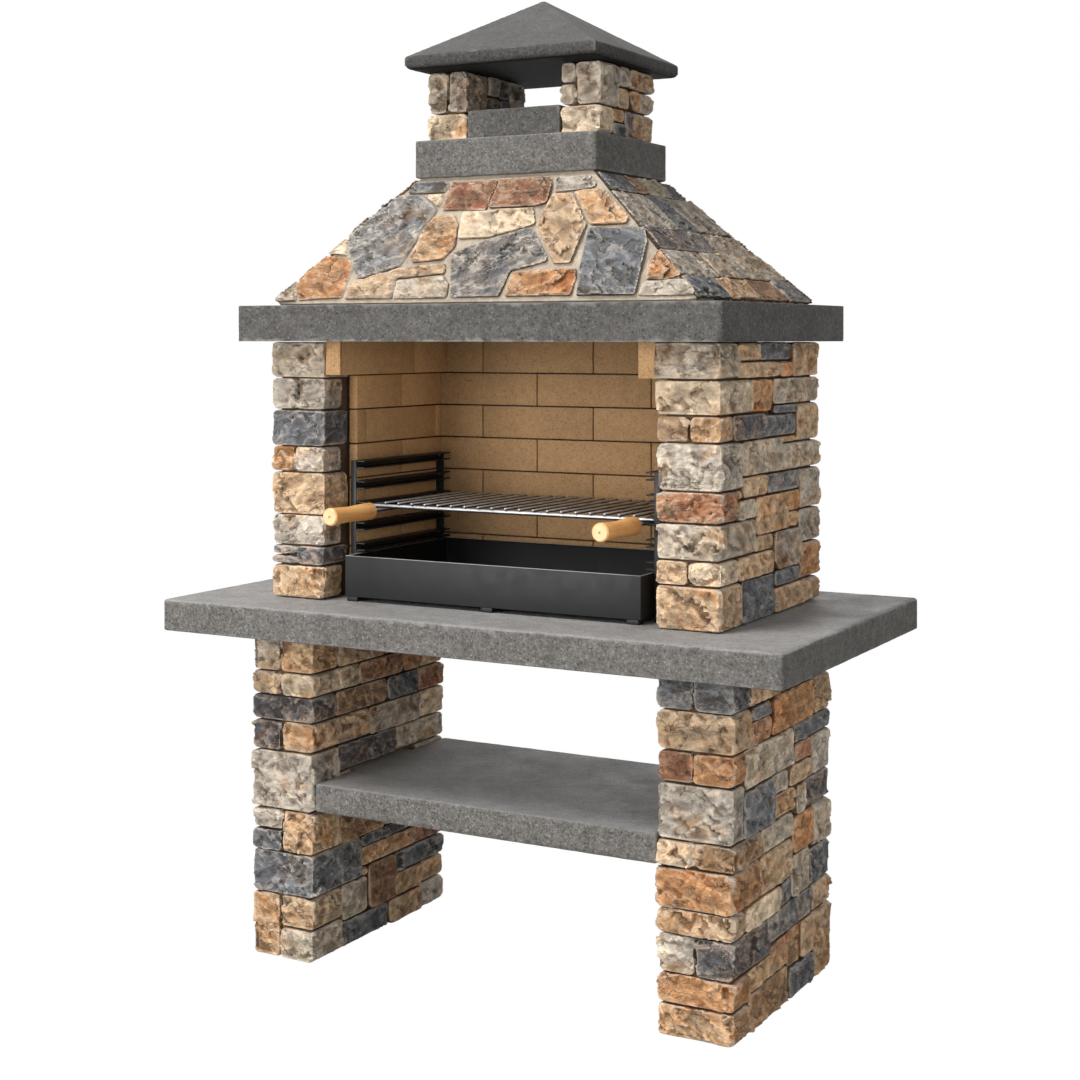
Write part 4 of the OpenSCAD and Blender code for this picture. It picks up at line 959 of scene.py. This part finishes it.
class BARBECUE_OT_slabs(bpy.types.Operator):
    """Casts the worktop, the shelf, the slabs of the hood and chimney, the sills and the cap"""
    bl_idname = "barbecue.slabs"
    bl_label = "Cast slabs"

    def execute(self, context):
        for node, tone in CAST_TONES.items():
            obj = copy_of(node, "cast_" + node)
            mesh = obj.data
            modify(obj, "REMESH", mode="VOXEL", voxel_size=context.scene.barbecue_cast.edge,
                   use_smooth_shade=True)
            ripple(obj, "cast_ripple", CAST_RIPPLE, CAST_STRENGTH, 0.5)
            modify(obj, "DECIMATE", ratio=CAST_KEPT)
            set_points(mesh, np.clip(points(mesh), *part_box(node)))
            store(mesh, "relief", relief_of(mesh, CAST_RELIEF, 1))
            # The chimney cap is marked for its dark underside: sooty, and painted shade besides.
            store(mesh, "soot", node == "chimney_cap")
            store(mesh, "tone", tone)
            dress(obj, MASONRY, "concrete", made_once(concrete_material, "cast_concrete"), node,
                  smooth=50)
        return {"FINISHED"}


# Mortar

# Face of the mortar behind the stones' faces, and its gap to the slabs above and below
MORTAR_INSET, MORTAR_GAP = 0.017, 0.002
# Size and strength of the mortar's lumps, and the cuts that give a block and the skin their grid
LUMP_SIZE, LUMP_STRENGTH, BLOCK_CUTS, SKIN_CUTS = 0.03, 0.004, 24, 60
# Thickness of the skin between the flagstones, and how far it stays off the hood's foot and head
SKIN, SKIN_FOOT, SKIN_HEAD = 0.007, 0.001, 0.002
# The hood's mortar faces: heights of foot and head, half sizes and middles there
HOOD = {"z": (1.486, 1.772), "x": (0.515, 0.208), "y": (0.316, 0.162), "mid": (0.021, 0.003)}


def hood_at(z):
    """Half the width, half the depth and the middle of the hood at a height."""
    t = (z - HOOD["z"][0]) / (HOOD["z"][1] - HOOD["z"][0])
    return [HOOD[k][0] + (HOOD[k][1] - HOOD[k][0]) * t for k in ("x", "y", "mid")]


def mortar_block(name, low, high, material, core):
    """A rough block of mortar inside the box of some stones."""
    obj = cube(name)
    inset = np.array((MORTAR_INSET, MORTAR_INSET, MORTAR_GAP))
    low, high = np.array(low) + inset, np.array(high) - inset
    set_points(obj.data, low + (points(obj.data) + 0.5) * (high - low))
    with editing(obj):
        bpy.ops.mesh.subdivide(number_cuts=BLOCK_CUTS)
    ripple(obj, "mortar_lumps", LUMP_SIZE, LUMP_STRENGTH, 0.5)
    dress(obj, MASONRY, "mortar", material, core)


def hood_pointing(material):
    """The mortar between the flagstones: a thin rough skin on the hood's four slopes."""
    obj = cube("hood_pointing")
    co = points(obj.data)
    z = np.where(co[:, 2] > 0, HOOD["z"][1] - SKIN_HEAD, HOOD["z"][0] + SKIN_FOOT)
    half_x, half_y, middle = hood_at(z)
    set_points(obj.data, np.stack((np.copysign(half_x, co[:, 0]),
                                   middle + np.copysign(half_y, co[:, 1]), z), 1))
    with editing(obj, lambda face: abs(face.normal.z) > SQUARE):
        bpy.ops.mesh.delete(type="ONLY_FACE")
        bpy.ops.mesh.select_all(action="SELECT")
        bpy.ops.mesh.subdivide(number_cuts=SKIN_CUTS)
    modify(obj, "SOLIDIFY", thickness=SKIN, offset=1.0, use_even_offset=True)
    ripple(obj, "mortar_lumps", LUMP_SIZE, LUMP_STRENGTH, 0.6)
    dress(obj, MASONRY, "mortar", material)


class BARBECUE_OT_mortar(bpy.types.Operator):
    """Fills the pillars and the hood with mortar behind the stones"""
    bl_idname = "barbecue.mortar"
    bl_label = "Mortar"

    def execute(self, context):
        settings = context.scene.barbecue_stone
        material = made_once(mortar_material, "pillar_mortar", settings.mortar)
        for pillar in ("lower_left", "lower_right", "upper_left", "upper_right"):
            front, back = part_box(pillar + "_front_blocks"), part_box(pillar + "_back_blocks")
            low = (back[0][0], front[0][1], back[0][2])
            mortar_block("mortar_" + pillar, low, back[1], material, pillar + "_core")
        for side in SIDES:
            mortar_block(f"mortar_{side}_pier", *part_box(side + "_pier_blocks"), material,
                         side + "_pier_core")
        material = made_once(mortar_material, "hood_mortar", settings.pointing)
        NODES["hood_shell"].data.materials.clear()
        NODES["hood_shell"].data.materials.append(material)
        hood_pointing(material)
        return {"FINISHED"}


# Stones of the pillars, the hood and the chimney

# Inner face of the upper pillars, and back of the corbelled bricks' facing
PILLAR_FACE, CORBEL_BACK = 0.412, 0.396
# How far past the hood's mortar faces the flagstones may reach at the hips, in x and y
HIP_REACH = (0.0235, 0.018)
# The flagstones of each slope: the way it faces, the axis along it, how much they widen as they
# stand out, how far their sides grow and how bright they are
SLOPES = {
    "front": ((0, -0.903, 0.429), 0, 1.0, 0.002, 0.72),
    "back": ((0, 0.857, 0.515), 0, 0.95, 0.002, 0.74),
    "left": ((-0.682, 0, 0.731), 1, 0.76, 0.0006, 0.74),
    "right": ((0.682, 0, 0.731), 1, 0.76, 0.0006, 0.74),
}


def beside_corbel(co):
    """Ends the top front block at the pillar's face, where the corbelled bricks come forward."""
    co[:, 0] = np.copysign(np.maximum(np.abs(co[:, 0]), PILLAR_FACE), co[:, 0])
    return co


def spread_to_hips(normal, axis, gain):
    """A shape function that widens the stones of one slope as they stand out, so that they meet
    those of the next slope along the hips."""
    def shape(co):
        away = co @ np.array(normal, np.float32)
        height = away - np.percentile(away, 0.5)
        half_x, half_y, middle = hood_at(co[:, 2])
        half, centre = (half_x, 0) if axis == 0 else (half_y, middle)
        across = (co[:, axis] - centre) * (1 + gain * height / half)
        limit = half + HIP_REACH[axis]
        co[:, axis] = centre + np.clip(across, -limit, limit)
        return co
    return shape


class BARBECUE_OT_pillars(bpy.types.Operator):
    """Dresses the pillars' blocks and facing stones"""
    bl_idname = "barbecue.pillars"
    bl_label = "Pillar stones"

    def execute(self, context):
        for level, corner in (("lower_", None), ("upper_", beside_corbel)):
            for side, out, inner in zip(SIDES, (LEFT, RIGHT), (RIGHT, LEFT)):
                pillar = level + side
                # The back blocks and outer facings, which show on the sides, are painted brighter
                # than the fronts: partly paler stone, partly painted light on sides the lamps leave
                # in shade.
                broken_stone(pillar + "_front_blocks", (FRONT, LEFT, RIGHT), 1.0, 0.93,
                             shape=corner)
                broken_stone(pillar + "_back_blocks", (BACK, LEFT, RIGHT), 0.9, 1.1)
                if level == "lower_":
                    broken_stone(pillar + "_outer_facing", (out,), 0.8, 1.24)
                    broken_stone(pillar + "_inner_facing", (inner,), 0.8, 0.9)
                else:
                    broken_stone(pillar + "_facing", (out,), 0.8, 1.24)
        return {"FINISHED"}


class BARBECUE_OT_hood(bpy.types.Operator):
    """Lays the flagstones on the hood"""
    bl_idname = "barbecue.hood"
    bl_label = "Hood"

    def execute(self, context):
        for side, (normal, axis, gain, grown, value) in SLOPES.items():
            broken_stone(side + "_flagstones", (normal,), 0.7, value, slot="flagstone",
                         voxel=0.0036, rounding=3, grown=grown,
                         shape=spread_to_hips(normal, axis, gain))
        return {"FINISHED"}


class BARBECUE_OT_chimney(bpy.types.Operator):
    """Dresses the stones of the chimney's piers"""
    bl_idname = "barbecue.chimney"
    bl_label = "Chimney stones"

    def execute(self, context):
        for side in SIDES:
            broken_stone(side + "_pier_blocks", (FRONT, BACK, LEFT, RIGHT), 0.8, 0.8)
            broken_stone(side + "_pier_facing", (LEFT, RIGHT), 0.8, 0.8)
        return {"FINISHED"}


# Hearth, rails, grill and tray

# How bright the firebricks of the back and of the sides are, and how far they differ. The sides'
# bricks are painted brighter, as painted light on the side walls that the lamps hardly reach
BACK_BRICKS, LIT_SIDE_BRICKS, BRICK_RANGE = 0.93, 1.2, (0.93, 1.05)
# Rounding of the edges of the rails, the rods and the tray
RAIL_EDGE, ROD_EDGE, TRAY_EDGE = 0.0006, 0.0008, 0.0014
# Width of the flat round a handle's centre hole, and the hole's taper and depth
END_FLAT, HOLE_TAPER, HOLE_DEPTH = 0.0135, 0.0005, 0.0035


class BARBECUE_OT_hearth(bpy.types.Operator):
    """Lays the firebricks of the hearth"""
    bl_idname = "barbecue.hearth"
    bl_label = "Firebricks"

    def execute(self, context):
        material = made_once(firebrick_material, "laid_firebrick")
        for node in ("back_firebricks", "left_firebricks", "right_firebricks",
                     "left_corbel_bricks", "right_corbel_bricks"):
            obj = copy_of(node, "laid_" + node)
            if "corbel" in node:
                co = points(obj.data)
                back = np.abs(np.abs(co[:, 0]) - CORBEL_BACK) < NEAR
                co[back, 0] = np.copysign(PILLAR_FACE, co[back, 0])
                set_points(obj.data, co)
            soften(obj, context.scene.barbecue_hearth.bevel)
            brick = islands(obj.data)
            draw = random.Random(node)
            # The side walls' bricks are painted brighter as painted light.
            bright = BACK_BRICKS if "back" in node else LIT_SIDE_BRICKS
            tint = np.array([[bright * draw.uniform(*BRICK_RANGE)] * 3 + [1]
                             for _ in range(brick.max() + 1)])
            store(obj.data, "tone", tint[brick])
            dress(obj, MASONRY, "firebrick", material, node)
        return {"FINISHED"}


class BARBECUE_OT_rails(bpy.types.Operator):
    """Dresses the rails, their posts and their bolts"""
    bl_idname = "barbecue.rails"
    bl_label = "Rails"

    def execute(self, context):
        paint = made_once(painted_steel_material, "black_paint", 0.45)
        plating = made_once(plated_rod_material, "plated_rod")
        for node in ("left_rail_posts", "right_rail_posts", "left_rails", "right_rails",
                     "rail_bolts"):
            obj = copy_of(node, "steel_" + node)
            soften(obj, RAIL_EDGE)
            slot, material = (("bright_steel", plating) if node == "rail_bolts"
                              else ("black_steel", paint))
            dress(obj, MASONRY, slot, material, node)
        return {"FINISHED"}


def sink_centre(obj):
    """Sinks the lathe's centre hole into a handle's front end."""
    front = points(obj.data)[:, 1].min()
    with editing(obj, lambda face: face.normal.y < -SQUARE and face.center.y - front < NEAR / 2):
        bpy.ops.mesh.inset(thickness=END_FLAT, depth=0)
        bpy.ops.mesh.inset(thickness=HOLE_TAPER, depth=-HOLE_DEPTH)


class BARBECUE_OT_grill(bpy.types.Operator):
    """Dresses the grill's frame, bars, handle rods and wooden handles"""
    bl_idname = "barbecue.grill"
    bl_label = "Grill"

    def execute(self, context):
        steel = made_once(plated_rod_material, "plated_rod")
        wood = made_once(wood_material, "turned_beech")
        for node in ("grill_frame", "grill_bars", "left_handle_rod", "right_handle_rod"):
            obj = copy_of(node, "rod_" + node)
            soften(obj, ROD_EDGE, angle_limit=math.radians(60))
            dress(obj, GRILL, "bright_steel", steel, node)
        for node in ("left_handle", "right_handle"):
            obj = copy_of(node, "turned_" + node)
            sink_centre(obj)
            dress(obj, GRILL, "beech", wood, node)
        return {"FINISHED"}


class BARBECUE_OT_tray(bpy.types.Operator):
    """Dresses the charcoal tray and its feet with rounded edges and black paint"""
    bl_idname = "barbecue.tray"
    bl_label = "Charcoal tray"

    def execute(self, context):
        paint = made_once(painted_steel_material, "tray_paint", 0.5)
        for node in ("charcoal_tray", "tray_feet"):
            obj = copy_of(node, "sheet_" + node)
            soften(obj, TRAY_EDGE, segments=3)
            if node == "charcoal_tray":
                co = points(obj.data)
                # The top edge, where the paint carries a painted highlight
                lip = co[:, 2] > co[:, 2].max() - NEAR
                inward = ((co - co.mean(axis=0)) * normals(obj.data)).sum(axis=1) < 0
                store(obj.data, "lip", lip)
                # The inside faces, below the lip, are marked to be darker.
                store(obj.data, "soot", inward & ~lip)
            dress(obj, TRAY, "black_steel", paint, node)
        return {"FINISHED"}


# Panel and registration

STEPS = (BARBECUE_OT_stage, BARBECUE_OT_slabs, BARBECUE_OT_mortar, BARBECUE_OT_pillars,
         BARBECUE_OT_hood, BARBECUE_OT_chimney, BARBECUE_OT_hearth, BARBECUE_OT_rails,
         BARBECUE_OT_grill, BARBECUE_OT_tray)
SETTINGS = {"barbecue_stage": BarbecueStage, "barbecue_stone": BarbecueStone,
            "barbecue_cast": BarbecueCast, "barbecue_hearth": BarbecueHearth,
            "barbecue_grill": BarbecueGrill}


class BARBECUE_PT_panel(bpy.types.Panel):
    """Lists the steps that dress the barbecue"""
    bl_idname = "BARBECUE_PT_panel"
    bl_label = "Masonry Barbecue"
    bl_space_type = "VIEW_3D"
    bl_region_type = "UI"
    bl_category = "Barbecue"

    def draw(self, context):
        for step in STEPS:
            self.layout.operator(step.bl_idname)
        for name in SETTINGS:
            settings = getattr(context.scene, name)
            for key in settings.__annotations__:
                self.layout.prop(settings, key)


def register():
    for made in (*SETTINGS.values(), *STEPS, BARBECUE_PT_panel):
        bpy.utils.register_class(made)
    for name, made in SETTINGS.items():
        setattr(bpy.types.Scene, name, PointerProperty(type=made))


def unregister():
    for name in SETTINGS:
        delattr(bpy.types.Scene, name)
    for made in (BARBECUE_PT_panel, *reversed(STEPS), *reversed(SETTINGS.values())):
        bpy.utils.unregister_class(made)


def main():
    register()
    bpy.ops.barbecue.stage()
    bpy.ops.barbecue.slabs()
    bpy.ops.barbecue.mortar()
    bpy.ops.barbecue.pillars()
    bpy.ops.barbecue.hood()
    bpy.ops.barbecue.chimney()
    bpy.ops.barbecue.hearth()
    bpy.ops.barbecue.rails()
    bpy.ops.barbecue.grill()
    bpy.ops.barbecue.tray()


if __name__ == "__main__":
    main()
